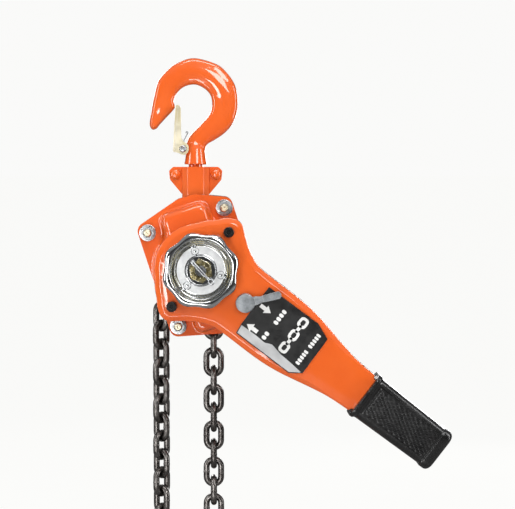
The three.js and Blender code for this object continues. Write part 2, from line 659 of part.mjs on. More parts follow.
function leverGrip() {
  const { start, end, half, rim, farRim, low, high } = GRIP;
  const section = (w, h0, h1, r) => rounded(
    [[-w, h0, r], [w, h0, r], [w, h1, r], [-w, h1, r]], 2);
  const along = (outline, u0, u1) => {
    const shape = new THREE.Shape(outline.map(([v, h]) => new THREE.Vector2(v, h)));
    const geometry = new THREE.ExtrudeGeometry(shape, { depth: u1 - u0, bevelEnabled: false });
    geometry.applyMatrix4(new THREE.Matrix4().makeBasis(
      new THREE.Vector3(0, 1, 0), new THREE.Vector3(0, 0, 1), new THREE.Vector3(1, 0, 0)));
    return solid(geometry.translate(u0, 0, 0));
  };
  const body = along(section(half, low, high, 9), start, end);
  const near = along(section(rim, low - 2.5, high + 2.5, 9), start, start + 5);
  const far = along(section(farRim, low - 1.5, high + 1.5, 9), end - 10, end);
  const pocket = along(section(20.4, CASE.rear - 0.4, CASE.front + 0.4, 0), start - 5, 317.6);
  return cut(join(body, near, far), pocket);
}

const labelPlate = () => slab([[72, -31], [144, -31], [156.5, -22], [155.5, 24], [137, 31.4],
  [70, 30.4], [70.5, -20.5]], CASE.front + GAP, CASE.front + 0.9);

function modeLever() {
  const { arm, disc: r, turn, u, v } = SELECTOR;
  const handle = slab(rounded([[-4, -3.4, 3], [16, -3.4], [arm - 8, -4.2, 4], [arm, -4.2, 4],
    [arm, 4.2, 4], [arm - 8, 4.2, 4], [16, 3.4], [-4, 3.4, 3]], 2), 83, 86.2);
  const hub = join(disc(r, 79.2, 82.4, 0, 0, 20), disc(6.5, 82, 86.8, 0, 0, 14),
    disc(3.7, 66.6, 79.5, 0, 0, 12));
  const whole = geometryOf(join(handle, hub)).rotateZ(degrees(turn)).translate(u, v, 0);
  return solid(whole);
}

function modePawl() {
  const noses = [12, -12].map((turn) => {
    const nose = geometryOf(slab(rounded([[-4, -4, 2], [34, -1.6, 1], [34, 1.6, 1],
      [-4, 4, 2]], 2), 55, 65));
    return solid(nose.rotateZ(degrees(180 + turn)));
  });
  const whole = cut(join(...noses, disc(8, 55, 66.2, 0, 0, 16)), disc(2.2, 50, 60, 0, 0, 14));
  return solid(geometryOf(whole).rotateZ(degrees(SELECTOR.turn / 4))
    .translate(SELECTOR.u, SELECTOR.v, 0));
}

// ---------------------------------------------------------------- assembly

const hoist = new THREE.Group();
hoist.name = 'lever_chain_hoist';

/** Turns a face-space solid by the place's tilt and moves it to the place's axis. */
function place(name, part, at, material) {
  const geometry = geometryOf(part).rotateZ(degrees(at.tilt));
  if (at.flip) geometry.rotateY(Math.PI);
  geometry.rotateX(Math.PI / 2).translate(at.x, 0, at.z);
  const mesh = new THREE.Mesh(geometry, material);
  mesh.name = name;
  hoist.add(mesh);
}

function addHookEnd(prefix, at, yokeFront, yokeRear, pin) {
  place(`${prefix}_hook`, hook(), at, LOOKS.orange);
  place(`${prefix}_latch`, latch(), at, LOOKS.zinc);
  place(`${prefix}_latch_pin`, latchPin(), at, LOOKS.zinc);
  place(`${prefix}_yoke_front`, yokeFront, at, LOOKS.orange);
  place(`${prefix}_yoke_rear`, yokeRear, at, LOOKS.orange);
  place(`${prefix}_yoke_pin`, pin, at, LOOKS.steel);
}

addHookEnd('top', FACE, drilled(frontHalf(topYoke)), drilled(rearHalf(topYoke)),
  disc(YOKE_PIN.r, -22, 22, 0, YOKE_PIN.y, 16));
// The load yoke's rivets are one piece with its front half.
addHookEnd('load', LOAD_END, join(frontHalf(loadYoke), yokeRivet(-1), yokeRivet(1)),
  drilled(rearHalf(loadYoke)), disc(LOAD_PIN.r, -13.6, 13.6, 0, LOAD_PIN.y, 14));
place('top_latch_spring', latchSpring(), FACE, LOOKS.steel);
place('top_yoke_rivet_left', yokeRivet(-1), FACE, LOOKS.orange);
place('top_yoke_rivet_right', yokeRivet(1), FACE, LOOKS.orange);

place('front_side_plate', frontPlate(), BODY, LOOKS.steel);
place('rear_side_plate', rearPlate(), BODY, LOOKS.steel);
place('brake_cover', brakeCover(), BODY, LOOKS.orange);
place('gear_cover', gearCover(), { ...BODY, tilt: -BODY_TILT, flip: true }, LOOKS.orange);
STAYS.forEach(([a, b], k) => {
  place(`stay_bolt_${k + 1}`, stayBolt(a, b), BODY, LOOKS.zinc);
  place(`stay_nut_${k + 1}`, stayNut(a, b), BODY, LOOKS.zinc);
});
place('chain_guide', arcPlate(41.5, 44, 30, 150, 16.6), DRIVE, LOOKS.steel);
place('chain_stripper', chainStripper(), DRIVE, LOOKS.steel);
place('sheave_bearing_front', washer(17, 13.3, 17, 22), BODY, LOOKS.zinc);
place('sheave_bearing_rear', washer(17, 13.3, -22, -17), BODY, LOOKS.zinc);
place('brake_pawl_upper', brakePawl(1), BODY, LOOKS.steel);
place('brake_pawl_lower', brakePawl(-1), BODY, LOOKS.steel);

place('load_sheave', loadSheave(), DRIVE, LOOKS.steel);
place('load_gear', loadGear(), BODY, LOOKS.steel);
place('wrapped_chain', wrappedChain(), DRIVE, LOOKS.chain);
place('idler_gear_upper', idler(1), BODY, LOOKS.steel);
place('idler_gear_lower', idler(-1), BODY, LOOKS.steel);
place('pinion_shaft', pinionShaft(), BODY, LOOKS.steel);

place('brake_hub', brakeHub(), DRIVE, LOOKS.steel);
place('friction_disc_inner', washer(29, 12.8, 30.3, 32.3), DRIVE, LOOKS.lining);
place('ratchet_disc', ratchetDisc(), BODY, LOOKS.steel);
place('friction_disc_outer', washer(27.5, 12.8, 38.8, 41), DRIVE, LOOKS.lining);
place('change_gear', changeGear(), DRIVE, LOOKS.steel);
place('hand_wheel', handWheel(), DRIVE, LOOKS.chrome);
place('castle_nut', castleNut(), BODY, LOOKS.brass);
place('cotter_pin', cotterPin(), BODY, LOOKS.zinc);

place('lever_front_shell', leverFrontShell(), LEVER, LOOKS.orange);
place('lever_rear_shell', leverRearShell(), LEVER, LOOKS.orange);
place('casing_screw_upper', casingScrew(1), LEVER, LOOKS.black);
place('casing_screw_lower', casingScrew(-1), LEVER, LOOKS.black);
place('lever_grip', leverGrip(), LEVER, LOOKS.rubber);
place('label_plate', labelPlate(), LEVER, LOOKS.label);
place('mode_lever', modeLever(), LEVER, LOOKS.zinc);
place('mode_pawl', modePawl(), LEVER, LOOKS.steel);

const lowerTop = LOAD_RUN.top - LOAD_RUN.upper * LINK.pitch;
const slackEnd = SLACK_RUN.top - (SLACK_RUN.links - 0.5) * LINK.pitch;
const upperRun = run(LOAD_RUN.x, LOAD_RUN.top, LOAD_RUN.upper, LOAD_RUN.twist);
const lowerRun = run(LOAD_RUN.x, lowerTop, LOAD_RUN.lower, LOAD_RUN.twist);
const slackRun = run(SLACK_RUN.x, SLACK_RUN.top, SLACK_RUN.links, SLACK_RUN.twist);
place('load_chain_upper', upperRun, FACE, LOOKS.chain);
place('load_chain_lower', lowerRun, FACE, LOOKS.chain);
place('slack_chain', slackRun, FACE, LOOKS.chain);
const lastTwist = SLACK_RUN.twist + ((SLACK_RUN.links - 1) % 2) * 90;
const ring = geometryOf(endRing()).rotateY(degrees(lastTwist + 90));
ring.translate(0, RING.seat - RING.radius, 0);
place('end_ring', solid(ring), { tilt: 0, x: SLACK_RUN.x, z: slackEnd }, LOOKS.zinc);

export default hoist;
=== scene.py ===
"""Looks of the lever chain hoist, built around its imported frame.

Shapes are drawn in "face" space, in millimetres: x right, y up and h towards the hand
wheel. A place turns face space into the row frame, in metres.
"""

import math

import bmesh
import bpy
import numpy as np
from mathutils import Matrix, Vector
from mathutils.geometry import delaunay_2d_cdt


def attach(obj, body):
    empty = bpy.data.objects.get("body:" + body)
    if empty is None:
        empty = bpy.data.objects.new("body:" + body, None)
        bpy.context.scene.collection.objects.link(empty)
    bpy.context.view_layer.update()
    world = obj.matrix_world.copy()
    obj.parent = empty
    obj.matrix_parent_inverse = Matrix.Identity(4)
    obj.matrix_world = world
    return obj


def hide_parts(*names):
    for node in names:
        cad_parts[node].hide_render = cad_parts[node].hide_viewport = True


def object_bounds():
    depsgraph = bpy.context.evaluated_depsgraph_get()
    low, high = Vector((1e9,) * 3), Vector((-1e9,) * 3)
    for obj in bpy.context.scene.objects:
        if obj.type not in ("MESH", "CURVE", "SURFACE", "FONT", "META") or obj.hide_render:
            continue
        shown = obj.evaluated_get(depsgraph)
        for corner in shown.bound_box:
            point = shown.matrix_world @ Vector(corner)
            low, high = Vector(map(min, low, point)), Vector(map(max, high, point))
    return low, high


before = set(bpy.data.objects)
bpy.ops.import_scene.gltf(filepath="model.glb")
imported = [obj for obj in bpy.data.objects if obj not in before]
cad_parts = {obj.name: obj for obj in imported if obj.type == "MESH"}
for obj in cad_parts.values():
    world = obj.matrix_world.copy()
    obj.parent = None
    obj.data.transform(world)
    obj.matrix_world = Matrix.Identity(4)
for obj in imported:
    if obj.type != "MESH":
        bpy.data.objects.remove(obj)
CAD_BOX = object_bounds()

MM = 0.001
scene = bpy.context.scene

# ---- camera

CAMERA = {"at": (0.01965, -1.79683, -0.09772), "target": (0.06984, 0.0, -0.19193), "lens": 110.86}


def new_object(name, data):
    obj = bpy.data.objects.new(name, data)
    scene.collection.objects.link(obj)
    return obj


def aim(obj, at, target):
    obj.location = at
    obj.rotation_mode = "QUATERNION"
    obj.rotation_quaternion = (Vector(target) - Vector(at)).to_track_quat("-Z", "Y")


def make_camera():
    data = bpy.data.cameras.new("camera")
    data.lens = CAMERA["lens"]
    data.sensor_width = 36.0
    data.clip_end = 200.0
    scene.camera = new_object("camera", data)
    aim(scene.camera, CAMERA["at"], CAMERA["target"])


make_camera()

# ---- driving sizes, millimetres and degrees

SHAFT = (6.2, -204.6)
BODY_TILT = 18.0
LEVER_TILT = -37.6

LINK = {"wire": 7.1, "pitch": 21.0, "width": 23.6}
LOAD_RUN = {"x": 20.0, "twist": 90.0, "top": -251.0, "upper": 4, "lower": 10}
SLACK_RUN = {"x": -39.5, "twist": 45.0, "top": -262.0, "links": 12}
SHEAVE_POCKETS = 4

HOOK = {"half": 8.0, "pivot": (-14.3, -72.3), "pin": 2.5, "neck": 7.9, "collar": 12.8}
YOKE = {"top": -92.6, "wing": 5.0, "half": 14.0, "block": 15.3, "face": 8.6, "rivet": (22.6, -101.0)}
YOKE_PIN = {"y": -140.0, "r": 6.0}
LOAD_PIN = {"y": -137.4, "r": 4.0}
LOAD_HOOK_Z = LOAD_RUN["top"] - LINK["pitch"] * 13.5 + LOAD_PIN["r"] + 0.3 + LOAD_PIN["y"]

PLATE = {"inner": 17.0, "outer": 22.0}
STAY = {"a": 45.0, "b": 55.0, "r": 4.4}
COVER = {"flange": 24.5, "wall": 2.2, "foot": 3.0}
BRAKE_COVER = {"front": 47.0, "shoulder": 5.5, "draft": 1.6, "circle": 52.5, "lobe": (27.0, 70.0, 10.0)}
GEAR_COVER = {"front": 66.0, "shoulder": 8.0, "draft": 2.0, "circle": 46.0, "lobe": (31.5, 67.5, 31.5)}
PAWL_PIN = {"a": 16.0, "b": 50.0, "r": 3.5}
GEAR = {"module": 2.25, "small": 8}
SHAFT_R = 6.0

CASE = {"rear": 49.0, "split": 64.0, "front": 78.0, "wall": 2.2}
NECK = {"start": 166, "length": 36, "radius": 2.2, "tongue_radius": 1.4}
SCREW = {"u": -1.0, "v": 51.0, "head": 5.8}
SELECTOR = {"u": 60.0, "v": 1.0, "disc": 10.5, "arm": 40.0, "turn": 51.6}
GRIP = {"start": 224.4, "end": 331.0, "near": 25.8, "far": 23.4, "low": 44.5, "high": 82.5}
HATCH = {"grid": 0.85, "pitch": 4.6, "groove": 0.55, "width": 0.95, "border": 1.9, "rise": 0.8}
WHEEL = {"low": 79.7, "high": 97.5, "r": 40.7, "wave": 1.6, "lobes": 8, "first": 17.0}
COTTER = {"turn": -65.0, "h": 97.6, "over": 101.4}
RING = {"wire": 4.2, "radius": 36.4, "lead": 4.5, "seat": 3.9}


# ---- places


def place(tilt=0.0, x=0.0, z=0.0, flip=False):
    """The matrix from face space, in millimetres, to the row frame, in metres."""
    upright = Matrix.Rotation(math.pi / 2, 4, "X")
    turned = Matrix.Rotation(math.radians(tilt), 4, "Z")
    if flip:
        turned = Matrix.Rotation(math.pi, 4, "Y") @ turned
    return Matrix.Translation((x * MM, 0, z * MM)) @ upright @ turned @ Matrix.Scale(MM, 4)


FACE = place()
BODY = place(BODY_TILT, *SHAFT)
BODY_BACK = place(-BODY_TILT, *SHAFT, flip=True)
LEVER = place(LEVER_TILT, *SHAFT)
DRIVE = place(0.0, *SHAFT)
LOAD_END = place(180.0, LOAD_RUN["x"], LOAD_HOOK_Z)


# ---- mesh tools
# A shape is (points, faces): a list of 3-D points and a list of index lists.


def polar(r, degrees):
    return r * math.cos(math.radians(degrees)), r * math.sin(math.radians(degrees))


def arc(r, first, last, count, x=0.0, y=0.0):
    """count points along an arc, with both of its ends."""
    return [(x + r * math.cos(a), y + r * math.sin(a)) for a in np.radians(np.linspace(first, last, count))]


def ease(share):
    """A share from 0 to 1, made to start and end softly."""
    share = np.clip(share, 0, 1)
    return share * share * (3 - 2 * share)


def joined(*shapes):
    points, faces = [], []
    for shape_points, shape_faces in shapes:
        start = len(points)
        points.extend(shape_points)
        faces.extend([i + start for i in face] for face in shape_faces)
    return points, faces


def moved(shape, x=0.0, y=0.0, turn=0.0):
    """The shape turned about h, then moved."""
    c, s = polar(1.0, turn)
    return [(p[0] * c - p[1] * s + x, p[0] * s + p[1] * c + y, p[2]) for p in shape[0]], shape[1]


def mapped(shape, function):
    return [function(*p) for p in shape[0]], shape[1]


def loft(rings, closed=False, capped=True):
    """Quads between rings of equal length. The rings close on themselves; closed joins last to first."""
    count = len(rings[0])
    points = [tuple(p) for ring in rings for p in ring]
    faces = []
    rows = len(rings) if closed else len(rings) - 1
    for i in range(rows):
        low, high = i * count, ((i + 1) % len(rings)) * count
        for j in range(count):
            k = (j + 1) % count
            faces.append([low + j, low + k, high + k, high + j])
    if capped and not closed:
        faces.append(list(range(count))[::-1])
        faces.append([(len(rings) - 1) * count + j for j in range(count)])
    return points, faces


def turned(profile, steps, x=0.0, y=0.0, closed=False, wave=None):
    """A profile of (r, h) turned about h. wave(angle, index) adds to the radius."""
    rings = []
    for index, (r, h) in enumerate(profile):
        ring = []
        for k in range(steps):
            angle = 2 * math.pi * k / steps
            radius = r + (wave(angle, index) if wave else 0.0)
            ring.append((x + radius * math.cos(angle), y + radius * math.sin(angle), h))
        rings.append(ring)
    return loft(rings, closed=closed)


def upright(shape):
    """A shape turned about h becomes one turned about y."""
    return mapped(shape, lambda px, py, ph: (px, ph, -py))


def bar(path, radius, sides, closed=False, across=(0.0, 0.0, 1.0)):
    """A round bar along a path of points. radius is a number, or a function of the point's index."""
    path = [Vector(p) for p in path]
    count = len(path)
    side = Vector(across)
    rings = []
    for i, point in enumerate(path):
        before = path[i - 1] if closed or i else point
        after = path[(i + 1) % count] if closed or i < count - 1 else point
        along = (after - before).normalized()
        side = (side - along * side.dot(along)).normalized()
        other = along.cross(side)
        r = radius(i) if callable(radius) else radius
        ring = []
        for j in range(sides):
            angle = 2 * math.pi * j / sides
            ring.append(point + side * (r * math.cos(angle)) + other * (r * math.sin(angle)))
        rings.append(ring)
    return loft(rings, closed=closed)


def rounded(corners, steps):
    """A polygon of (x, y, r) corners, each rounded by its r."""
    out = []
    for i, (x, y, r) in enumerate(corners):
        here = Vector((x, y))
        if not r:
            out.append((x, y))
            continue
        before = (Vector(corners[i - 1][:2]) - here).normalized()
        after = (Vector(corners[(i + 1) % len(corners)][:2]) - here).normalized()
        half = math.acos(max(-1.0, min(1.0, before.dot(after)))) / 2
        centre = here + (before + after).normalized() * (r / math.sin(half))
        start = here + before * (r / math.tan(half)) - centre
        end = here + after * (r / math.tan(half)) - centre
        first = math.atan2(start.y, start.x)
        sweep = (math.atan2(end.y, end.x) - first + math.pi) % (2 * math.pi) - math.pi
        for k in range(steps + 1):
            angle = first + sweep * k / steps
            out.append((centre.x + r * math.cos(angle), centre.y + r * math.sin(angle)))
    return out


def rectangle(x0, x1, y0, y1, r=0.0, steps=6):
    return rounded([(x0, y0, r), (x1, y0, r), (x1, y1, r), (x0, y1, r)], steps)


def mirrored(half, axis=1):
    """Half of a line of points, and its mirror image in reverse."""
    return [*half, *[(*p[:axis], -p[axis], *p[axis + 1:]) for p in reversed(half)]]


def circle(r, x=0.0, y=0.0, steps=48):
    return [(x + r * math.cos(2 * math.pi * k / steps), y + r * math.sin(2 * math.pi * k / steps))
            for k in range(steps)]


def smooth(points, count):
    """A Catmull-Rom line through the points, as count + 1 points evenly spaced along it."""
    p = np.array(points, float)
    p = np.vstack([2 * p[0] - p[1], p, 2 * p[-1] - p[-2]])
    dense = []
    for i in range(1, len(p) - 2):
        for t in np.linspace(0, 1, 24, endpoint=False):
            a, b, c, d = p[i - 1], p[i], p[i + 1], p[i + 2]
            dense.append(0.5 * (2 * b + (c - a) * t + (2 * a - 5 * b + 4 * c - d) * t * t
                                + (3 * b - a - 3 * c + d) * t ** 3))
    dense = np.array(dense + [p[-2]])
    length = np.concatenate([[0], np.cumsum(np.linalg.norm(np.diff(dense, axis=0), axis=1))])
    at = np.linspace(0, length[-1], count + 1)
    return [tuple(np.array([np.interp(s, length, dense[:, k]) for k in (0, 1)])) for s in at]


def anticlockwise(points):
    p = np.array(points)
    q = np.roll(p, -1, axis=0)
    area = np.sum(p[:, 0] * q[:, 1] - p[:, 1] * q[:, 0])
    return list(points) if area > 0 else list(points)[::-1]


def inset(points, distance):
    """An anticlockwise outline moved inwards. distance is a number or one per point."""
    p = np.array(points, float)
    forward = np.roll(p, -1, axis=0) - p
    forward /= np.maximum(np.linalg.norm(forward, axis=1, keepdims=True), 1e-9)
    normal = np.stack([-forward[:, 1], forward[:, 0]], axis=1)
    mean = normal + np.roll(normal, 1, axis=0)
    mean /= np.maximum(np.linalg.norm(mean, axis=1, keepdims=True), 1e-9)
    reach = np.asarray(distance, float) / np.maximum(np.sum(mean * normal, axis=1), 0.5)
    return [tuple(row) for row in p + mean * np.reshape(reach, (-1, 1))]


def inside(points, polygon):
    """Which of the points lie in the polygon, as an array of truths."""
    p = np.asarray(points, float)
    a = np.asarray(polygon, float)
    b = np.roll(a, -1, axis=0)
    found = np.zeros(len(p), bool)
    for (ax, ay), (bx, by) in zip(a, b):
        if ay == by:
            continue
        crosses = (ay > p[:, 1]) != (by > p[:, 1])
        found ^= crosses & (p[:, 0] < (bx - ax) * (p[:, 1] - ay) / (by - ay) + ax)
    return found


def edge_distance(points, polygon):
    """The distance from each point to the polygon's edge."""
    p = np.asarray(points, float)[:, None, :]
    a = np.asarray(polygon, float)[None]
    b = np.roll(a, -1, axis=1)
    along = b - a
    t = np.clip(np.sum((p - a) * along, axis=2) / np.maximum(np.sum(along * along, axis=2), 1e-12), 0, 1)
    return np.linalg.norm(p - (a + along * t[..., None]), axis=2).min(axis=1)


def lattice_within(outline, low, high, step, clear):
    """Points of a square lattice that lie more than clear inside the outline."""
    across, along = np.meshgrid(np.arange(low[0], high[0], step), np.arange(low[1], high[1], step))
    lattice = np.stack([across.ravel(), along.ravel()], axis=1)
    lattice = lattice[inside(lattice, outline)]
    return lattice[edge_distance(lattice, outline) > clear]


def filled(outline, holes=(), extra=()):
    """Triangles of the outline less its holes. Returns (2-D points, faces), outline first, then holes."""
    loops = [list(outline), *[list(hole) for hole in holes]]
    points = [tuple(p) for loop in loops for p in loop] + [tuple(p) for p in extra]
    edges, start = [], 0
    for loop in loops:
        edges += [(start + k, start + (k + 1) % len(loop)) for k in range(len(loop))]
        start += len(loop)
    result = delaunay_2d_cdt([Vector(p) for p in points], edges, [], 0, 1e-5)
    corner, faces = result[0], result[2]
    back = [o[0] if o else None for o in result[3]]
    for k, known in enumerate(back):
        if known is None:
            points.append(tuple(corner[k]))
            back[k] = len(points) - 1
    centres = [sum((corner[i] for i in face), Vector((0, 0))) / len(face) for face in faces]
    keep = inside(centres, loops[0])
    for hole in loops[1:]:
        keep &= ~inside(centres, hole)
    return points, [[back[i] for i in face] for face, kept in zip(faces, keep) if kept]


def slab(outline, h0, h1, holes=()):
    """An outline with holes, pushed from h0 to h1 with sharp edges."""
    outline = anticlockwise(outline)
    holes = [anticlockwise(hole) for hole in holes]
    flat, faces = filled(outline, holes)
    count = len(flat)
    points = [(x, y, h0) for x, y in flat] + [(x, y, h1) for x, y in flat]
    out = [face[::-1] for face in faces] + [[i + count for i in face] for face in faces]
    start = 0
    for loop in [outline, *holes]:
        for k in range(len(loop)):
            a, b = start + k, start + (k + 1) % len(loop)
            out.append([a, b, b + count, a + count] if start == 0 else [b, a, a + count, b + count])
        start += len(loop)
    return points, out


def disc(r, h0, h1, x=0.0, y=0.0, steps=48):
    return turned([(r, h0), (r, h1)], steps, x, y)


# ---- Blender meshes


def mesh_from(shape, name="shape"):
    mesh = bpy.data.meshes.new(name)
    mesh.from_pydata([tuple(p) for p in shape[0]], [], shape[1])
    work = bmesh.new()
    work.from_mesh(mesh)
    bmesh.ops.remove_doubles(work, verts=work.verts, dist=1e-4)
    bmesh.ops.recalc_face_normals(work, faces=work.faces)
    work.to_mesh(mesh)
    work.free()
    return mesh


def shape_of(mesh):
    return [tuple(v.co) for v in mesh.vertices], [list(p.vertices) for p in mesh.polygons]


def evaluated(obj):
    """The object's mesh with its modifiers applied."""
    graph = bpy.context.evaluated_depsgraph_get()
    return bpy.data.meshes.new_from_object(obj.evaluated_get(graph))


def boolean(kind, first, *others):
    """first joined to, cut by or kept within each of the other shapes."""
    base = new_object("base", mesh_from(first))
    tools = []
    for other in others:
        tool = new_object("tool", mesh_from(other))
        modifier = base.modifiers.new("boolean", "BOOLEAN")
        modifier.operation = kind
        modifier.solver = "EXACT"
        modifier.object = tool
        tools.append(tool)
    result = shape_of(evaluated(base))
    for obj in [base, *tools]:
        bpy.data.objects.remove(obj)
    return result


def cut(first, *others):
    return boolean("DIFFERENCE", first, *others)


def union(first, *others):
    return boolean("UNION", first, *others)


def add_piece(name, shape, at, look, body, nodes=(), edge=0.0, thick=0.0, sharp=42.0):
    """A finished piece: placed, thickened, its edges rounded, shaded, and riding on its body.

    edge is the radius of its rounded edges, and thick the sheet that an open shape gets inwards.
    """
    mesh = mesh_from(shape, name)
    mesh.transform(at)
    obj = new_object(name, mesh)
    if thick:
        shell = obj.modifiers.new("thickness", "SOLIDIFY")
        shell.thickness = thick * MM
        shell.offset = -1.0
        shell.use_even_offset = True
        shell.thickness_clamp = 1.0
    if edge:
        bevel = obj.modifiers.new("edges", "BEVEL")
        bevel.width = edge * MM
        bevel.segments = 2
        bevel.limit_method = "ANGLE"
        bevel.angle_limit = math.radians(38)
        bevel.use_clamp_overlap = True
    if thick or edge:
        mesh = evaluated(obj)
        obj.modifiers.clear()
        obj.data = mesh
        mesh.name = name
    mesh.shade_smooth()
    mesh.set_sharp_from_angle(angle=math.radians(sharp))
    weighted = obj.modifiers.new("normals", "WEIGHTED_NORMAL")
    weighted.keep_sharp = True
    weighted.weight = 60
    mesh.materials.clear()
    mesh.materials.append(LOOKS[look])
    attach(obj, body)
    if nodes:
        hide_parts(*nodes)


# ---- materials


class Nodes:
    """A small helper that builds one node tree."""

    def __init__(self, owner):
        owner.use_nodes = True
        self.tree = owner.node_tree
        self.shader = self.tree.nodes.get("Principled BSDF")

    def add(self, kind, **inputs):
        node = self.tree.nodes.new(kind)
        for key, value in inputs.items():
            self.feed(node.inputs[key.replace("_", " ")], value)
        return node

    def feed(self, socket, value):
        if isinstance(value, bpy.types.NodeSocket):
            self.tree.links.new(value, socket)
        else:
            socket.default_value = value

    def noise(self, scale, detail=3.0, roughness=0.5, stretch=None):
        where = self.add("ShaderNodeTexCoord").outputs["Object"]
        if stretch:
            where = self.add("ShaderNodeMapping", Vector=where, Scale=stretch).outputs["Vector"]
        node = self.add("ShaderNodeTexNoise", Vector=where, Scale=scale, Detail=detail, Roughness=roughness)
        return node.outputs["Fac"]

    def ramp(self, value, low, high, start=0.35, end=0.65):
        """value from start to end, mapped to low to high."""
        return self.add("ShaderNodeMapRange", Value=value, From_Min=start, From_Max=end, To_Min=low,
                        To_Max=high).outputs["Result"]

    def mix(self, factor, first, second):
        node = self.add("ShaderNodeMix")
        node.data_type = "RGBA"
        for socket, value in ((0, factor), (6, first), (7, second)):
            self.feed(node.inputs[socket], value)
        return node.outputs[2]

    def worn_edges(self, radius):
        """How sharp the edge beside a point is, from 0 on a face to 1 on an edge."""
        soft = self.add("ShaderNodeBevel")
        soft.samples = 4
        soft.inputs["Radius"].default_value = radius * MM
        dot = self.add("ShaderNodeVectorMath")
        dot.operation = "DOT_PRODUCT"
        self.feed(dot.inputs[0], soft.outputs["Normal"])
        self.feed(dot.inputs[1], self.add("ShaderNodeNewGeometry").outputs["Normal"])
        return self.ramp(dot.outputs["Value"], 1.0, 0.0, 0.86, 0.985)

    def product(self, *factors):
        node = self.add("ShaderNodeMath")
        node.operation = "MULTIPLY"
        for socket, factor in zip(node.inputs, factors):
            self.feed(socket, factor)
        return node.outputs[0]

    def bump(self, height, distance, strength, after=None):
        node = self.add("ShaderNodeBump", Height=height, Distance=distance, Strength=strength)
        if after is not None:
            self.feed(node.inputs["Normal"], after)
        return node.outputs["Normal"]

    def done(self, colour, roughness, normal, **constants):
        settings = {"Base_Color": colour, "Roughness": roughness, "Normal": normal, **constants}
        for key, value in settings.items():
            self.feed(self.shader.inputs[key.replace("_", " ")], value)


def rgb(text):
    """A #rrggbb colour as linear light."""
    parts = [int(text[i:i + 2], 16) / 255 for i in (1, 3, 5)]
    return (*[c / 12.92 if c <= 0.04045 else ((c + 0.055) / 1.055) ** 2.4 for c in parts], 1.0)


def finish(name, tones, grain, layers, rough, bumps, grain_range=(0.35, 0.65), **constants):
    """A material of two tones mixed by grain, with layers over them.

    grain and the first item of rough and of each bump are noises: scale, detail, roughness, stretch.
    A layer is its colour, its share, and where it lies: a radius for worn edges, or a noise's
    scale, detail, start and end for patches. rough goes on with its lowest and highest value,
    and a bump with its distance and strength.
    """
    material = bpy.data.materials.new(name)
    n = Nodes(material)
    first, second = tones
    colour = n.mix(n.ramp(n.noise(*grain), 0.0, 1.0, *grain_range), rgb(first), rgb(second))
    for tint, share, where in layers:
        if isinstance(where, float):
            mask = n.product(n.worn_edges(where), share)
        else:
            mask = n.ramp(n.noise(*where[:2]), 0.0, share, *where[2:])
        colour = n.mix(mask, colour, rgb(tint))
    noise, low, high = rough
    normal = None
    for height, distance, strength in bumps:
        normal = n.bump(n.noise(*height), distance, strength, normal)
    n.done(colour, n.ramp(n.noise(*noise), low, high), normal, **constants)
    return material


def plated(name, light, dark, low, high, grain=500.0, blotch=60.0):
    """Plating: soft spangle, fine grain and brighter worn edges."""
    return finish(name, (dark, light), (blotch, 5.0, 0.6), [("#e6e6e4", 0.6, 0.5)],
                  ((blotch * 2.5, 4.0), low, high), [((grain, 4.0, 0.6), 0.00004, 0.4)], Metallic=1.0)


def film(name, dark, light):
    """Printed film: almost flat colour, with slight scuffs in its gloss."""
    return finish(name, (dark, light), (40.0, 4.0), [], ((110.0, 5.0, 0.65), 0.28, 0.46),
                  [((500.0, 3.0), 0.00004, 0.4)])


TOOL_MARKS = (150.0, 3.0, 0.6, (1.0, 9.0, 1.0))

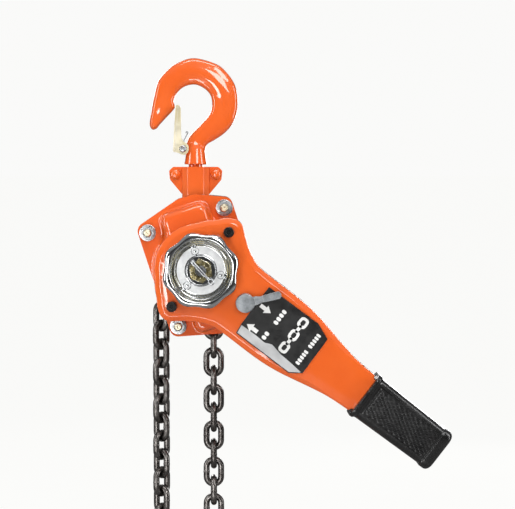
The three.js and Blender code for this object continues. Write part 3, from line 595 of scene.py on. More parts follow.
LOOKS = {
    # Glossy enamel over a forging or a pressing: slight orange peel, and thinner on its edges.
    "orange_paint": finish(
        "orange_paint", ("#e25c18", "#ea651e"), (14.0, 4.0),
        [("#b4481a", 0.22, 0.9), ("#a8440f", 0.3, (900.0, 2.0, 0.7, 0.76))], ((60.0, 3.0), 0.34, 0.44),
        [((420.0, 2.0), 0.00005, 0.4), ((70.0, 2.0), 0.0004, 0.2)],
        Coat_Weight=1.0, Coat_Roughness=0.05, Coat_IOR=1.7, Specular_IOR_Level=0.2),
    "zinc": plated("zinc", "#c6c9cb", "#aeb1b4", 0.26, 0.38),
    "yellow_zinc": plated("yellow_zinc", "#e8e0c6", "#cabf9c", 0.36, 0.5),
    "cast_zinc": plated("cast_zinc", "#9fa3a6", "#7d8184", 0.42, 0.56, 260.0, 150.0),
    "satin": plated("satin_chrome", "#e2e3e3", "#c8c9ca", 0.34, 0.46, 900.0, 90.0),
    "brass_zinc": plated("brass_zinc", "#b3a678", "#7d7552", 0.2, 0.32),
    # Turned and ground steel with fine rings of tool marks and a film of oil.
    "steel": finish(
        "steel", ("#55585b", "#8b8e90"), TOOL_MARKS, [("#3d3a36", 0.55, (35.0, 4.0, 0.5, 0.75))],
        (TOOL_MARKS, 0.28, 0.46), [(TOOL_MARKS, 0.00006, 0.5)], Metallic=1.0),
    # Polished chromium with faint swirls left by the buffing wheel.
    "chrome": finish(
        "chrome", ("#bfc1c2", "#d8d9da"), (45.0, 5.0, 0.6), [], ((120.0, 5.0, 0.6), 0.05, 0.14),
        [((45.0, 2.0), 0.0004, 0.15)], Metallic=1.0),
    # Heat-treated alloy links: dark scale, rubbed brighter where the links touch.
    "chain_steel": finish(
        "chain_steel", ("#4a4643", "#8a8683"), (220.0, 5.0, 0.65),
        [("#332f2d", 0.6, (55.0, 3.0, 0.48, 0.7)), ("#b9b6b2", 0.5, 0.6)], ((160.0, 4.0), 0.24, 0.44),
        [((650.0, 4.0, 0.6), 0.00012, 0.5), ((140.0, 2.0), 0.0004, 0.35)], Metallic=1.0),
    # Moulded black rubber with a slight bloom and a fine sparked texture.
    "rubber": finish(
        "rubber", ("#0b0b0b", "#151414"), (30.0, 5.0), [("#2a2928", 0.5, 0.6)], ((90.0, 4.0), 0.2, 0.3),
        [((1500.0, 3.0), 0.0001, 0.5)], Specular_IOR_Level=0.7),
    # Black oxide on the screws.
    "black_steel": finish(
        "black_steel", ("#121212", "#242322"), (180.0, 4.0), [("#6a6866", 0.45, 0.5)],
        ((260.0, 3.0), 0.28, 0.42), [((900.0, 3.0), 0.00006, 0.5)], Metallic=0.7),
    # Brake lining: pressed fibre with pale and dark flecks.
    "lining": finish(
        "lining", ("#4b3327", "#8a6a50"), (700.0, 5.0, 0.7), [], ((300.0, 3.0), 0.78, 0.92),
        [((800.0, 4.0), 0.0002, 0.6)], grain_range=(0.4, 0.6)),
    "label": film("label", "#0b0b0b", "#161616"),
    "print": film("print", "#d9d9d6", "#eeeeec"),
    "print_grey": film("print_grey", "#a8a9aa", "#c6c7c7"),
}

# ---- hooks

HOOK_OUTER = [
    (-43.8, -49.4), (-48.6, -50.8), (-51.8, -44.2), (-49, -26.2), (-46.4, -12.2), (-41.8, 3.9),
    (-32.8, 14.9), (-20.7, 24), (-1.6, 29.7), (23.5, 23), (35.5, 13.1), (43.7, 1), (47.1, -12.1),
    (47.5, -24.1), (45.1, -36.2), (39.6, -47.2), (30.5, -56.2), (20.4, -62.8), (12.3, -68),
    (10.6, -76),
]
HOOK_INNER = [
    (-10.8, -76), (-10, -66), (-5.8, -56.8), (2.3, -48.7), (10.3, -40.2), (15.4, -34.2),
    (18.2, -26.2), (18.5, -19.1), (16.9, -12.1), (11.4, -5.6), (3.6, -1.1), (-3.2, 0),
    (-11.7, -2), (-18.8, -7.1), (-23.3, -14.1), (-24.6, -20.1), (-23.6, -26.4), (-33, -37),
    (-40, -44.6),
]


SWELL = {"skin": (0.2, 0.7, 1.5, 2.7, 4.2), "grid": 2.2, "grid_from": 5.4, "smooth_from": 3.5, "passes": 14}


def inflated(outline, half, reach):
    """The outline swelled both ways into a round-edged forging, half thick on each side."""
    outline = anticlockwise(outline)
    skin = []
    for depth in SWELL["skin"]:
        ring = inset(outline, depth)
        skin += [p for p, away in zip(ring, edge_distance(ring, outline)) if away > 0.93 * depth]
    skin = list(np.array(skin)[inside(skin, outline)])
    low, high = np.min(outline, axis=0), np.max(outline, axis=0)
    core = lattice_within(outline, low, high, SWELL["grid"], SWELL["grid_from"])
    points, faces = filled(outline, extra=[*skin, *core])
    from_edge = edge_distance(points, outline)
    height = half * np.sqrt(np.maximum(1 - (1 - np.minimum(from_edge / reach, 1.0)) ** 2, 0))
    height[:len(outline)] = 0
    pairs = np.array([(f[i], f[(i + 1) % len(f)]) for f in faces for i in range(len(f))])
    inner = (np.arange(len(points)) >= len(outline)) & (from_edge > SWELL["smooth_from"])
    for _ in range(SWELL["passes"]):
        total, number = np.zeros(len(points)), np.zeros(len(points))
        np.add.at(total, pairs[:, 0], height[pairs[:, 1]])
        np.add.at(number, pairs[:, 0], 1)
        height = np.where(inner, total / np.maximum(number, 1), height)
    front = [(x, y, h) for (x, y), h in zip(points, height)]
    back = [(x, y, -h) for x, y, h in front]
    return joined((front, faces), (back, [f[::-1] for f in faces]))


def hook_shape():
    outline = [*smooth(HOOK_OUTER, 120), *smooth(HOOK_INNER, 96)]
    neck, collar = HOOK["neck"], HOOK["collar"]
    shank = upright(turned([
        (0.05, -62), (4.5, -63), (8, -66.5), (9.9, -71), (10.6, -75), (11.4, -81), (12.2, -86.5),
        (collar, -88.4), (12.6, -89.4), (11.6, -89.9), (neck, -90.1), (neck, -112), (12, -112.6),
        (12, -119), (0.05, -119.4)], 56))
    lug = disc(6.3, -6.2, 6.2, *HOOK["pivot"], 32)
    whole = union(inflated(outline, HOOK["half"], 11.5), shank, lug)
    return cut(whole, disc(HOOK["pin"] + 0.3, -20, 20, *HOOK["pivot"], 24))


def latch_shape():
    """A slim pressed channel: a web along its left side, and two cheeks that swell to the eyes."""
    outline = rounded([(-25.4, -75.6, 1), (-20.5, -76.6, 3), (-15, -79.3, 4), (-8, -79, 6), (-7.8, -66.4, 6),
                       (-13.2, -64.8, 3), (-16.4, -59.5, 3), (-16.8, -26, 1.5), (-18.6, -23.2, 1),
                       (-22.2, -23.4, 1), (-24.3, -52, 20)], 6)
    hollow = [(-24, -95), (20, -95), (20, -10), (-17, -10), (-20.7, -24.2), (-22.8, -52), (-24, -75)]
    fold = [(-22.4, -75.4), (-21.2, -52), (-19.4, -25), (-19.9, -25), (-21.8, -52), (-23.1, -75.4)]
    channel = cut(slab(outline, -9.9, 9.9), slab(hollow, -8.4, 8.4))
    eye = disc(HOOK["pin"] + 0.3, -20, 20, *HOOK["pivot"], 24)
    return cut(channel, eye, slab(fold, 9.45, 12), slab(fold, -12, -9.45))


def latch_pin_shape():
    r = HOOK["pin"]
    half = [(0.05, 12.4), (1.2, 12.3), (1.6, 11.7), (2.6, 12.3), (3.4, 12.1), (4, 11.4), (4, 10.3), (r, 10.2)]
    return turned(mirrored(half), 32, *HOOK["pivot"])


def latch_spring_shape():
    """Two turns of wire round the pin, and a leg that ends in a small curl."""
    x, y = HOOK["pivot"]
    path = [(a, b, 7.9 - k * 1.5 / 72) for k, (a, b) in enumerate(arc(3.9, 40, -680, 73, x, y))]
    path += [(x + 1, y + 9, 6.4), (x + 5.2, y + 17.1, 6.4)]
    path += [(a, b, 6.4) for a, b in arc(1.1, -20, 230, 9, x + 4.6, y + 18.2)]
    return bar(path, 0.5, 8)


WINGS = [(-25.6, YOKE["top"], 3), (-30, -97, 3), (-29, -107, 4), (-15.3, -123.5, 2)]


def yoke_half(tail, pin):
    """The front pressing of a yoke: flat wings down to the tail, and a ribbed block over the shank."""
    face, block, half = YOKE["face"], YOKE["block"], YOKE["half"]
    outline = rounded(mirrored([*WINGS, *tail], 0), 6)
    section = rounded(mirrored([(block, 0.15, 0), (block, 8, 2.2), (face, half, 2.2)], 0), 5)
    column = mapped(slab(section, min(y for _, y in outline), YOKE["top"]), lambda a, b, c: (a, c, b))
    column = boolean("INTERSECT", column, slab(outline, 0, 30))
    cavity = upright(turned([(0.05, -80), (8.5, -80), (8.5, -111.5), (12.5, -111.8), (12.5, -120.2),
                             (0.05, -120.2)], 40))
    rivets = [disc(3.3, -5, 40, side * YOKE["rivet"][0], YOKE["rivet"][1], 24) for side in (-1, 1)]
    return cut(union(slab(outline, 0.15, YOKE["wing"]), column), cavity,
               disc(pin["r"] + 0.3, -5, 40, 0, pin["y"], 32), *rivets)


def backwards(shape):
    """The same shape behind the plane h = 0."""
    return mapped(shape, lambda x, y, h: (x, y, -h))


def rivet_shape(side):
    dome = [(6.1 * y, 5.2 + 4.2 * x) for x, y in arc(1, 11.25, 90, 8)]
    return turned(mirrored([(0.05, 9.4), *dome, (3.0, 5.18)]), 40, side * YOKE["rivet"][0], YOKE["rivet"][1])


def pin_shape(pin, half):
    r = pin["r"]
    return turned(mirrored([(0.05, -half), (r - 0.8, -half), (r, 0.8 - half)]), 40, 0, pin["y"])


def make_hook_ends():
    hook, latch, latch_pin = hook_shape(), latch_shape(), latch_pin_shape()
    load_y = LOAD_PIN["y"]
    slot = [slab(rectangle(-40, 40, -190, load_y), -4.2, 4.2), disc(12.6, -4.2, 4.2, 0, load_y, 36)]
    top_half = yoke_half([(-15.3, -150, 3)], YOKE_PIN)
    load_half = cut(yoke_half([(-8.8, -134, 3), (-8.8, load_y - 8.8, 8.5)], LOAD_PIN), *slot)
    for end, at, half in (("top", FACE, top_half), ("load", LOAD_END, load_half)):
        yoke = f"{end}_yoke"
        add_piece(f"{end}_hook_forging", hook, at, "orange_paint", f"{end}_hook", [f"{end}_hook"], sharp=50)
        add_piece(f"{end}_latch_sheet", latch, at, "yellow_zinc", f"{end}_latch", [f"{end}_latch"], edge=0.35)
        add_piece(f"{end}_latch_rivet", latch_pin, at, "zinc", f"{end}_hook", [f"{end}_latch_pin"])
        add_piece(f"{yoke}_front_shell", half, at, "orange_paint", yoke, [f"{yoke}_front"], edge=0.8)
        add_piece(f"{yoke}_rear_shell", backwards(half), at, "orange_paint", yoke, [f"{yoke}_rear"], edge=0.8)
    add_piece("top_latch_coil", latch_spring_shape(), FACE, "steel", "top_hook", ["top_latch_spring"])
    for side, word in ((-1, "left"), (1, "right")):
        rivet = rivet_shape(side)
        add_piece(f"top_rivet_{word}", rivet, FACE, "orange_paint", "top_yoke", [f"top_yoke_rivet_{word}"])
        add_piece(f"load_rivet_{word}", rivet, LOAD_END, "orange_paint", "load_yoke")
    add_piece("top_yoke_bolt", pin_shape(YOKE_PIN, 22), FACE, "steel", "top_yoke", ["top_yoke_pin"])
    add_piece("load_yoke_bolt", pin_shape(LOAD_PIN, 13.6), LOAD_END, "steel", "load_yoke", ["load_yoke_pin"])


# ---- chain


def link_shape(x, z, twist):
    """One round-wire link about its centre, with the swelling of its weld on one side."""
    wire, pitch, width = LINK["wire"], LINK["pitch"], LINK["width"]
    r, reach = (width - wire) / 2, (pitch + wire) / 2
    straight = reach - r
    flat = []
    for side in (1, -1):
        flat += [(side * r, -side * straight * t) for t in (1.0, 0.6, 0.2, 0.08, 0.0, -0.08, -0.2, -0.6)]
        flat += [(side * a, side * b) for a, b in arc(r, 0, 180, 13, 0.0, straight)[:-1]]
    c, s = polar(1.0, twist)
    path = [(w * c, y, w * s) for w, y in flat]
    swell = {2: 1.0, 3: 1.05, 4: 1.075, 5: 1.05, 6: 1.0}
    ring = bar(path, lambda i: wire / 2 * swell.get(i, 1.0), 14, closed=True, across=(s, 0.0, -c))
    return moved(ring, x, z)


def straight_run(x, top, links, twist):
    """Links hanging one in the next, each a quarter turn from the last."""
    return joined(*[link_shape(x, top - k * LINK["pitch"], twist + (k % 2) * 90) for k in range(links)])


def wrapped_links():
    """The links that lie over the load sheave, one in each pocket and one between."""
    wire, pitch = LINK["wire"], LINK["pitch"]
    step = math.pi / (2 * SHEAVE_POCKETS)
    pitch_radius = 0.5 * math.hypot(pitch / math.sin(step), wire / math.cos(step))
    radius = math.sqrt(pitch_radius ** 2 - (pitch / 2) ** 2)
    links = [link_shape(radius, 0.0, 90), link_shape(radius + 0.4, 0.0, 0)]
    return joined(*[moved(links[k % 2], turn=k * 180 / SHEAVE_POCKETS) for k in range(SHEAVE_POCKETS + 1)])


def ring_shape():
    """A split ring of two turns of round wire, with its ends cut square."""
    r, steps = RING["radius"], 240
    path = []
    for k in range(steps + 1):
        angle = 4 * math.pi * (k / steps)
        rise = ease((k / steps - 0.4) / 0.2) - 0.5
        path.append((r * math.sin(angle), -r * math.cos(angle), rise * RING["lead"]))
    return bar(path, lambda i: RING["wire"] / 2 * (0.86 if i in (0, steps) else 1.0), 18)


def make_chains():
    x, top, pitch, upper = LOAD_RUN["x"], LOAD_RUN["top"], LINK["pitch"], LOAD_RUN["upper"]
    links, twist = SLACK_RUN["links"], SLACK_RUN["twist"]
    runs = {"load_chain_upper": straight_run(x, top, upper, LOAD_RUN["twist"]),
            "load_chain_lower": straight_run(x, top - upper * pitch, LOAD_RUN["lower"], LOAD_RUN["twist"]),
            "slack_chain": straight_run(SLACK_RUN["x"], SLACK_RUN["top"], links, twist)}
    for name, run in runs.items():
        add_piece(f"{name}_links", run, FACE, "chain_steel", name, [name])
    add_piece("sheave_chain_links", wrapped_links(), DRIVE, "chain_steel", "sheave", ["wrapped_chain"])
    c, s = polar(1.0, twist + ((links - 1) % 2) * 90 + 90)
    ring = mapped(ring_shape(), lambda a, b, h: (
        a * c + h * s + SLACK_RUN["x"], b + RING["seat"] - RING["radius"], h * c - a * s))
    end = SLACK_RUN["top"] - (links - 0.5) * pitch
    add_piece("split_ring", moved(ring, 0, end), FACE, "zinc", "end_ring", ["end_ring"])


# ---- frame

FRAME_OUTLINE = rounded([
    (-55.5, -64.5, 10), (0, -78.5, 14), (55.5, -64.5, 10), (55.5, 64, 10), (18, 80, 8),
    (-2, 80.3, 8), (-55.5, 64.5, 10),
], 10)
STAYS = [(i * STAY["a"], j * STAY["b"]) for i, j in ((-1, 1), (1, 1), (1, -1), (-1, -1))]
STAY_HOLES = [circle(STAY["r"] + 0.5, a, b, 24) for a, b in STAYS]


def side_plate(h0, h1):
    c, s = polar(1.0, BODY_TILT)
    x, y = -SHAFT[0], YOKE_PIN["y"] - SHAFT[1]
    pin_hole = circle(YOKE_PIN["r"] + 0.3, x * c + y * s, y * c - x * s, 32)
    return slab(FRAME_OUTLINE, h0, h1, [circle(17.3), pin_hole, *STAY_HOLES])


def bulge_distance(circle_r, half_width, reach, corner):
    """A function giving the distance outside a disc joined smoothly to an upright lobe."""
    blend = 7.0

    def distance(x, y):
        round_part = np.hypot(x, y) - circle_r
        qx, qy = np.abs(x) - half_width + corner, np.abs(y) - reach + corner
        lobe = np.hypot(np.maximum(qx, 0), np.maximum(qy, 0)) + np.minimum(np.maximum(qx, qy), 0) - corner
        share = np.clip(0.5 + 0.5 * (lobe - round_part) / blend, 0, 1)
        return lobe * (1 - share) + round_part * share - blend * share * (1 - share)
    return distance


def level_line(distance, depth):
    """The closed line that lies depth inside the shape, found by halving along rays from the middle."""
    steps, nearest, farthest, halvings = 200, 1.0, 140.0, 40
    angle = np.linspace(0, 2 * np.pi, steps, endpoint=False)
    low, high = np.full(steps, nearest), np.full(steps, farthest)
    for _ in range(halvings):
        middle = (low + high) / 2
        beyond = distance(middle * np.cos(angle), middle * np.sin(angle)) > -depth
        high, low = np.where(beyond, middle, high), np.where(beyond, low, middle)
    return list(zip(low * np.cos(angle), low * np.sin(angle)))


def pressed_cover(outline, size, opening=None):
    """A flange with a bulge pressed out of it, as an open sheet."""
    distance = bulge_distance(size["circle"], *size["lobe"])
    flange, foot = COVER["flange"], COVER["foot"]
    front, shoulder, draft = size["front"], size["shoulder"], size["draft"]
    steps = np.radians(np.linspace(0, 90, 6))
    levels = [(foot * math.sin(a) - foot, flange + foot * (1 - math.cos(a))) for a in steps]
    levels += [(draft + shoulder * (1 - math.cos(a)), front - shoulder * (1 - math.sin(a))) for a in steps]
    loops = [[(x, y, h) for x, y in level_line(distance, depth)] for depth, h in levels]
    flat, faces = filled(anticlockwise(outline), [[p[:2] for p in loops[0]], *STAY_HOLES])
    base = [(x, y, flange) for x, y in flat], faces
    flat, faces = filled([p[:2] for p in loops[-1]], [circle(opening)] if opening else [])
    cap = [(x, y, front) for x, y in flat], faces
    return joined(base, loft(loops, capped=False), cap)


def chamfered_hex(r, h0, h1, first, both=False):
    """A hexagon prism whose corners are turned off at the top, and at both ends if asked."""
    corners = [polar(r, first + 60 * k) for k in range(6)]
    low = [(r * 0.9, h0), (r + 0.1, h0 + r * 0.06)] if both else [(r + 0.1, h0)]
    lathe = turned([(0.05, h0), *low, (r + 0.1, h1 - r * 0.07), (r * 0.88, h1), (0.05, h1)], 60)
    return boolean("INTERSECT", slab(corners, h0 - 0.5, h1 + 0.5), lathe)


def thread(r, h0, h1):
    """The profile of a threaded end, as rings, with a chamfered tip."""
    pitch, depth = 1.25, 0.36
    profile, h = [], h0
    while h + pitch < h1 - 0.8:
        profile += [(r - depth, h), (r, h + pitch * 0.4), (r, h + pitch * 0.55)]
        h += pitch
    return [*profile, (r - depth, h), (r - depth, h1 - 0.7), (r - 1.1, h1)]


def make_fasteners():
    r = STAY["r"]
    bolt = turned([(0.05, -25), (r, -25), (r, 26), *thread(r, 26, 36), (1.4, 36), (1.1, 35.5),
                   (0.05, 35.3)], 36)
    rod = joined(chamfered_hex(8, -31, -24.8, 0, both=True), bolt)
    nut = cut(chamfered_hex(8, 26.3, 33, 12), disc(r + 0.4, 20, 40, steps=36))
    washer = turned([(r + 0.5, 24.9), (8.9, 24.9), (9.3, 25.2), (9.3, 26.0), (8.9, 26.3), (r + 0.5, 26.3)],
                    48, closed=True)
    for k, (a, b) in enumerate(STAYS, 1):
        add_piece(f"stay_rod_{k}", moved(rod, a, b), BODY, "yellow_zinc", "frame", [f"stay_bolt_{k}"],
                  sharp=30)
        add_piece(f"stay_hex_nut_{k}", moved(nut, a, b), BODY, "zinc", "frame", [f"stay_nut_{k}"], edge=0.25)
        add_piece(f"stay_washer_{k}", moved(washer, a, b), BODY, "zinc", "frame")


def make_frame():
    inner, outer = PLATE["inner"], PLATE["outer"]
    studs = [disc(PAWL_PIN["r"], outer, 40, i * PAWL_PIN["a"], i * PAWL_PIN["b"], 32) for i in (1, -1)]
    front = joined(side_plate(inner, outer), *studs)
    add_piece("side_plate_front", front, BODY, "steel", "frame", ["front_side_plate"], edge=0.5)
    add_piece("side_plate_rear", side_plate(-outer, -inner), BODY, "steel", "frame", ["rear_side_plate"],
              edge=0.5)
    brake = pressed_cover(FRAME_OUTLINE, BRAKE_COVER, opening=20)
    gears = pressed_cover([(-x, y) for x, y in FRAME_OUTLINE], GEAR_COVER)
    for name, cover, at in (("brake", brake, BODY), ("gear", gears, BODY_BACK)):
        add_piece(f"{name}_cover_pressing", cover, at, "orange_paint", "frame", [f"{name}_cover"],
                  thick=COVER["wall"], edge=0.5)
    guide = slab(arc(44, 30, 150, 40) + arc(41.5, 30, 150, 40)[::-1], -16.6, 16.6)
    add_piece("chain_guide_strip", guide, DRIVE, "steel", "frame", ["chain_guide"], edge=0.5)
    make_fasteners()


# ---- drive and hand wheel


def wheel_shape():
    """A cup with a lobed rim, as one closed profile turned about the shaft."""
    low, high, r = WHEEL["low"], WHEEL["high"], WHEEL["r"]
    profile = [(6.3, low, 0), (20, low, 0), (33, low, 0.4), (r - 3.2, low, 1), (r - 1.2, low + 0.5, 1),
               (r - 0.2, low + 1.8, 1), (r, low + 3.4, 1), (r, high - 5.6, 1)]
    for k in range(1, 8):
        angle = math.radians(k * 90 / 7)
        profile.append((r - 4.4 * (1 - math.cos(angle)), high - 4.4 * (1 - math.sin(angle)), 1 - 0.075 * k))
    profile += [(35.2, high, 0.3), (34.4, high - 0.2, 0.12), (33.6, high - 0.9, 0), (33.2, high - 2.0, 0),
                (33.0, 92.6, 0), (32.4, 91.0, 0), (31.2, 89.9, 0), (29.9, 89.4, 0), (29.2, 89.2, 0),
                (28.5, 88.4, 0), (27.6, 87.1, 0), (26.6, 86.5, 0), (25.4, 86.4, 0), (18.4, 86.4, 0),
                (17.0, 86.6, 0), (16.3, 87.3, 0), (16.0, 88.9, 0), (15.6, 89.4, 0), (15.0, 89.6, 0),
                (6.3, 89.6, 0)]
    first, lobes, wave = math.radians(WHEEL["first"]), WHEEL["lobes"], WHEEL["wave"]

    def lobe(angle, index):
        return wave * profile[index][2] * math.cos(lobes * (angle - first))

    return turned([(a, b) for a, b, _ in profile], 192, closed=True, wave=lobe)


def wheel_mark(angle):
    """A small raised ring with a plain boss, as cast into the floor of the cup."""
    x, y = polar(22, angle)
    ring = turned([(3.5, 86.2), (3.7, 87.3), (4.1, 87.6), (4.5, 87.3), (4.7, 86.2)], 40, x, y, closed=True)
    boss = turned([(0.05, 86.3), (1.9, 86.3), (1.6, 87.2), (0.9, 87.5), (0.05, 87.5)], 24, x, y)
    return joined(ring, boss)


def castle_nut_shape():
    slot = slab(rectangle(-20, 20, -1.8, 1.8), COTTER["h"] - 1.9, 120)
    slots = [moved(slot, turn=COTTER["turn"] + 60 * k) for k in range(3)]
    crown = turned([(0.05, 94), (11.4, 94), (11.4, 98.8), (10.8, 99.5), (8.2, 99.6), (7.2, 98.8),
                    (0.05, 98.8)], 60)
    whole = union(chamfered_hex(13.4, 89.9, 95.4, 20), crown)
    return cut(whole, *slots, disc(SHAFT_R + 0.2, 0, 120, steps=48))


def cotter_shape():
    """An eye and two legs through the shaft, folded back side by side over the shaft's end."""
    h, over = COTTER["h"], COTTER["over"]
    leg = [(6.4, 1.2, over), (-9, 1.2, over), (-12.4, 1.15, over), (-13.9, 1.05, over - 0.8),
           (-14.5, 0.95, over - 2.2), (-13.9, 0.85, h + 0.4), (-12.6, 0.75, h), (-4, 0.72, h), (13, 0.75, h)]
    eye = [(x, y, h) for x, y in arc(2.9, 145, -145, 15, 16.4)]
    back = [(x, -y, z) for x, y, z in reversed(leg)]
    return moved(bar([*leg, *eye, *back], 0.68, 12), turn=COTTER["turn"])


def gear_outline(teeth, first):
    module = GEAR["module"]
    return [polar(module * teeth / 2 + out * module, first + (k + turn) * 360 / teeth) for k in range(teeth)
            for out, turn in ((-1.2, -0.29), (0.85, -0.1), (0.85, 0.1), (-1.2, 0.29))]


def pinion_shaft_shape():
    shaft = turned([(0.05, -60), (SHAFT_R - 0.8, -60), (SHAFT_R, -59.2), (SHAFT_R, 88), (5.7, 89),
                    *thread(5.7, 90, 100.4), (3.0, 100.4), (2.4, 99.6), (0.05, 99.4)], 56)
    whole = union(shaft, slab(gear_outline(GEAR["small"], 90), -44, -36.4))
    bore = mapped(disc(1.75, -20, 20, steps=24), lambda x, y, h: (h, y, x + COTTER["h"]))
    return cut(whole, moved(bore, turn=COTTER["turn"]))


def make_drive():
    marks = joined(*[wheel_mark(angle) for angle in (107, 228, 347)])
    floor = turned([(16.6, 86.3), (25.6, 86.3), (26.2, 86.5), (17.2, 86.52)], 96, closed=True)
    add_piece("wheel_cup", wheel_shape(), DRIVE, "chrome", "drive", ["hand_wheel"], sharp=60)
    add_piece("wheel_floor", floor, DRIVE, "satin", "drive", sharp=60)
    add_piece("wheel_marks", marks, DRIVE, "chrome", "drive", sharp=60)
    add_piece("slotted_nut", castle_nut_shape(), BODY, "brass_zinc", "drive", ["castle_nut"], edge=0.3)
    add_piece("split_pin", cotter_shape(), BODY, "zinc", "drive", ["cotter_pin"])
    add_piece("drive_shaft", pinion_shaft_shape(), BODY, "steel", "drive", ["pinion_shaft"], sharp=30)


# ---- lever

LEVER_HALF = [
    (-28, 46), (-19.5, 54), (-12, 62), (-3, 66.8), (6, 66.2), (14, 60), (23, 53),
    (33, 47), (44, 42.4), (56, 40.4), (105, 40.2), (131, 38), (153, 33.9), (173, 29.6),
    (195, 25.6), (221, 23.8),
]


def lever_outline():
    """Anticlockwise from the tongue in the grip, over the head, and back below."""
    upper = smooth([*arc(51, 180, 135, 6), *LEVER_HALF], 190)
    upper += [(u, 20.0) for u in (223.4, 250.0, 275.0, 300.0, 317.0)]
    return [*upper[::-1], *[(u, -v) for u, v in upper[1:]]]


# The shoulder's section, from the wall to the face, in shares of its width: a small rolled
# edge, a gentle slope, and a soft crease where the flat face begins.
SHOULDER = ((0.0, 0.62), (0.02, 0.5), (0.07, 0.41), (0.15, 0.35), (0.3, 0.275), (0.5, 0.178), (0.66, 0.103),
            (0.76, 0.06), (0.85, 0.028), (0.93, 0.008), (1.0, 0.0))


def case_sheet(base, top, radius, crown, openings):
    """One half of the lever casing as an open sheet: upright walls, a rolled shoulder that
    runs out at the neck, and a face that rises a little towards its middle."""
    outline = anticlockwise(lever_outline())
    u = np.array(outline)[:, 0]
    fade = ease((u - NECK["start"]) / NECK["length"])
    r = radius * (1 - fade) + NECK["radius"] * fade
    r = np.where(u > 223, NECK["tongue_radius"], r)
    loops = [[(x, y, base) for x, y in outline]]
    for inward, drop in SHOULDER:
        line = inset(outline, r * inward)
        loops.append([(x, y, top - ri * drop - crown) for (x, y), ri in zip(line, r)])
    inner = [p[:2] for p in loops[-1]]
    lattice = lattice_within(inner, (-56, -70), (334, 70), 3.4, 1.6)
    for hole in openings:
        lattice = lattice[~inside(lattice, hole) & (edge_distance(lattice, hole) > 1.2)]
    flat, faces = filled(inner, openings, lattice)
    heights = top - crown + crown * ease(edge_distance(flat, inner) / 9.0)
    heights[:len(inner)] = top - crown
    cap = [(x, y, h) for (x, y), h in zip(flat, heights)], faces
    return joined(loft(loops, capped=False), cap)


def casing_half(bore, base, top, radius, crown, extra=()):
    """Both halves have a bore round the shaft and two screw holes."""
    holes = [bore, *extra, *[circle(3.3, SCREW["u"], i * SCREW["v"], 24) for i in (1, -1)]]
    return case_sheet(base, top, radius, crown, holes)


def lever_front():
    knob_hole = circle(4, SELECTOR["u"], SELECTOR["v"], 28)
    return casing_half(circle(28, steps=72), CASE["split"] + 0.15, CASE["front"], 6.2, 0.7, [knob_hole])


def lever_rear():
    depth = CASE["split"] - 0.15 - CASE["rear"]
    sheet = casing_half(circle(24, steps=64), 0.0, depth, 4.6, 0.5)
    return mapped(sheet, lambda x, y, h: (x, y, CASE["rear"] + depth - h))


def casing_screw(side):
    """A socket head cap screw with a knurled head."""
    u, v, head = SCREW["u"], side * SCREW["v"], SCREW["head"]
    tail = turned([(0.05, 48), (2.4, 48), (3, 48.6), (3, 78.5), (0.05, 78.5)], 32, u, v)
    knurl = [polar(head * (1 if k % 2 else 0.965), 5 * k) for k in range(72)]
    body = boolean("INTERSECT", slab(knurl, 78.4, 83.2), turned(
        [(0.05, 78.4), (head + 0.1, 78.4), (head + 0.1, 82.3), (head - 0.9, 83.2), (0.05, 83.2)], 72))
    socket = slab([polar(2.9, 60 * k) for k in range(6)], 80.6, 90)
    chamfer = turned([(0.05, 82.8), (3.0, 82.7), (3.5, 83.4), (0.05, 83.5)], 36)
    return joined(tail, moved(cut(body, socket, chamfer), u, v))


def grip_section(u, grow_v, grow_h):
    """The grip's rounded section at u: it tapers a little towards its end."""
    share = (u - GRIP["start"]) / (GRIP["end"] - GRIP["start"])
    half = GRIP["near"] + (GRIP["far"] - GRIP["near"]) * share + grow_v
    low, high = GRIP["low"] - grow_h, GRIP["high"] + grow_h
    r = 8.0 + min(grow_v, grow_h) * 0.6
    return rectangle(-half, half, low, high, r, 8)


def hatch_panel(u0, u1, half, base):
    """A raised panel cut by two sets of crossing grooves into diamonds."""
    nu, nv = int((u1 - u0) / HATCH["grid"]), int(2 * half / HATCH["grid"])
    pitch, groove, rise = HATCH["pitch"], HATCH["groove"], HATCH["rise"]

    def height(u, v):
        h = base + rise
        from_rim = min(u - u0, u1 - u, half - abs(v))
        if from_rim > HATCH["border"]:
            for sign in (1, -1):
                phase = ((u * 0.62 + sign * v) / pitch) % 1.0
                away = min(phase, 1 - phase) * pitch
                h -= groove * max(0.0, 1 - away / HATCH["width"]) * 0.85
        elif from_rim > 0.9:
            h -= groove * 0.8
        return h if from_rim > 0.01 else base + rise * 0.45

    spots = [(u0 + (u1 - u0) * i / nu, -half + 2 * half * j / nv)
             for i in range(nu + 1) for j in range(nv + 1)]
    points = [(u, v, height(u, v)) for u, v in spots]
    width = nv + 1
    faces = [[i * width + j, (i + 1) * width + j, (i + 1) * width + j + 1, i * width + j + 1]
             for i in range(nu) for j in range(nv)]
    rim = [i * width for i in range(nu + 1)] + [nu * width + j for j in range(1, nv + 1)]
    rim += [i * width + nv for i in range(nu - 1, -1, -1)] + list(range(nv - 1, 0, -1))
    start, count = len(points), len(rim)
    points += [(*points[i][:2], base - 0.4) for i in rim]
    faces += [[i, rim[(k + 1) % count], start + (k + 1) % count, start + k] for k, i in enumerate(rim)]
    faces.append([start + k for k in range(count)])
    return points, faces


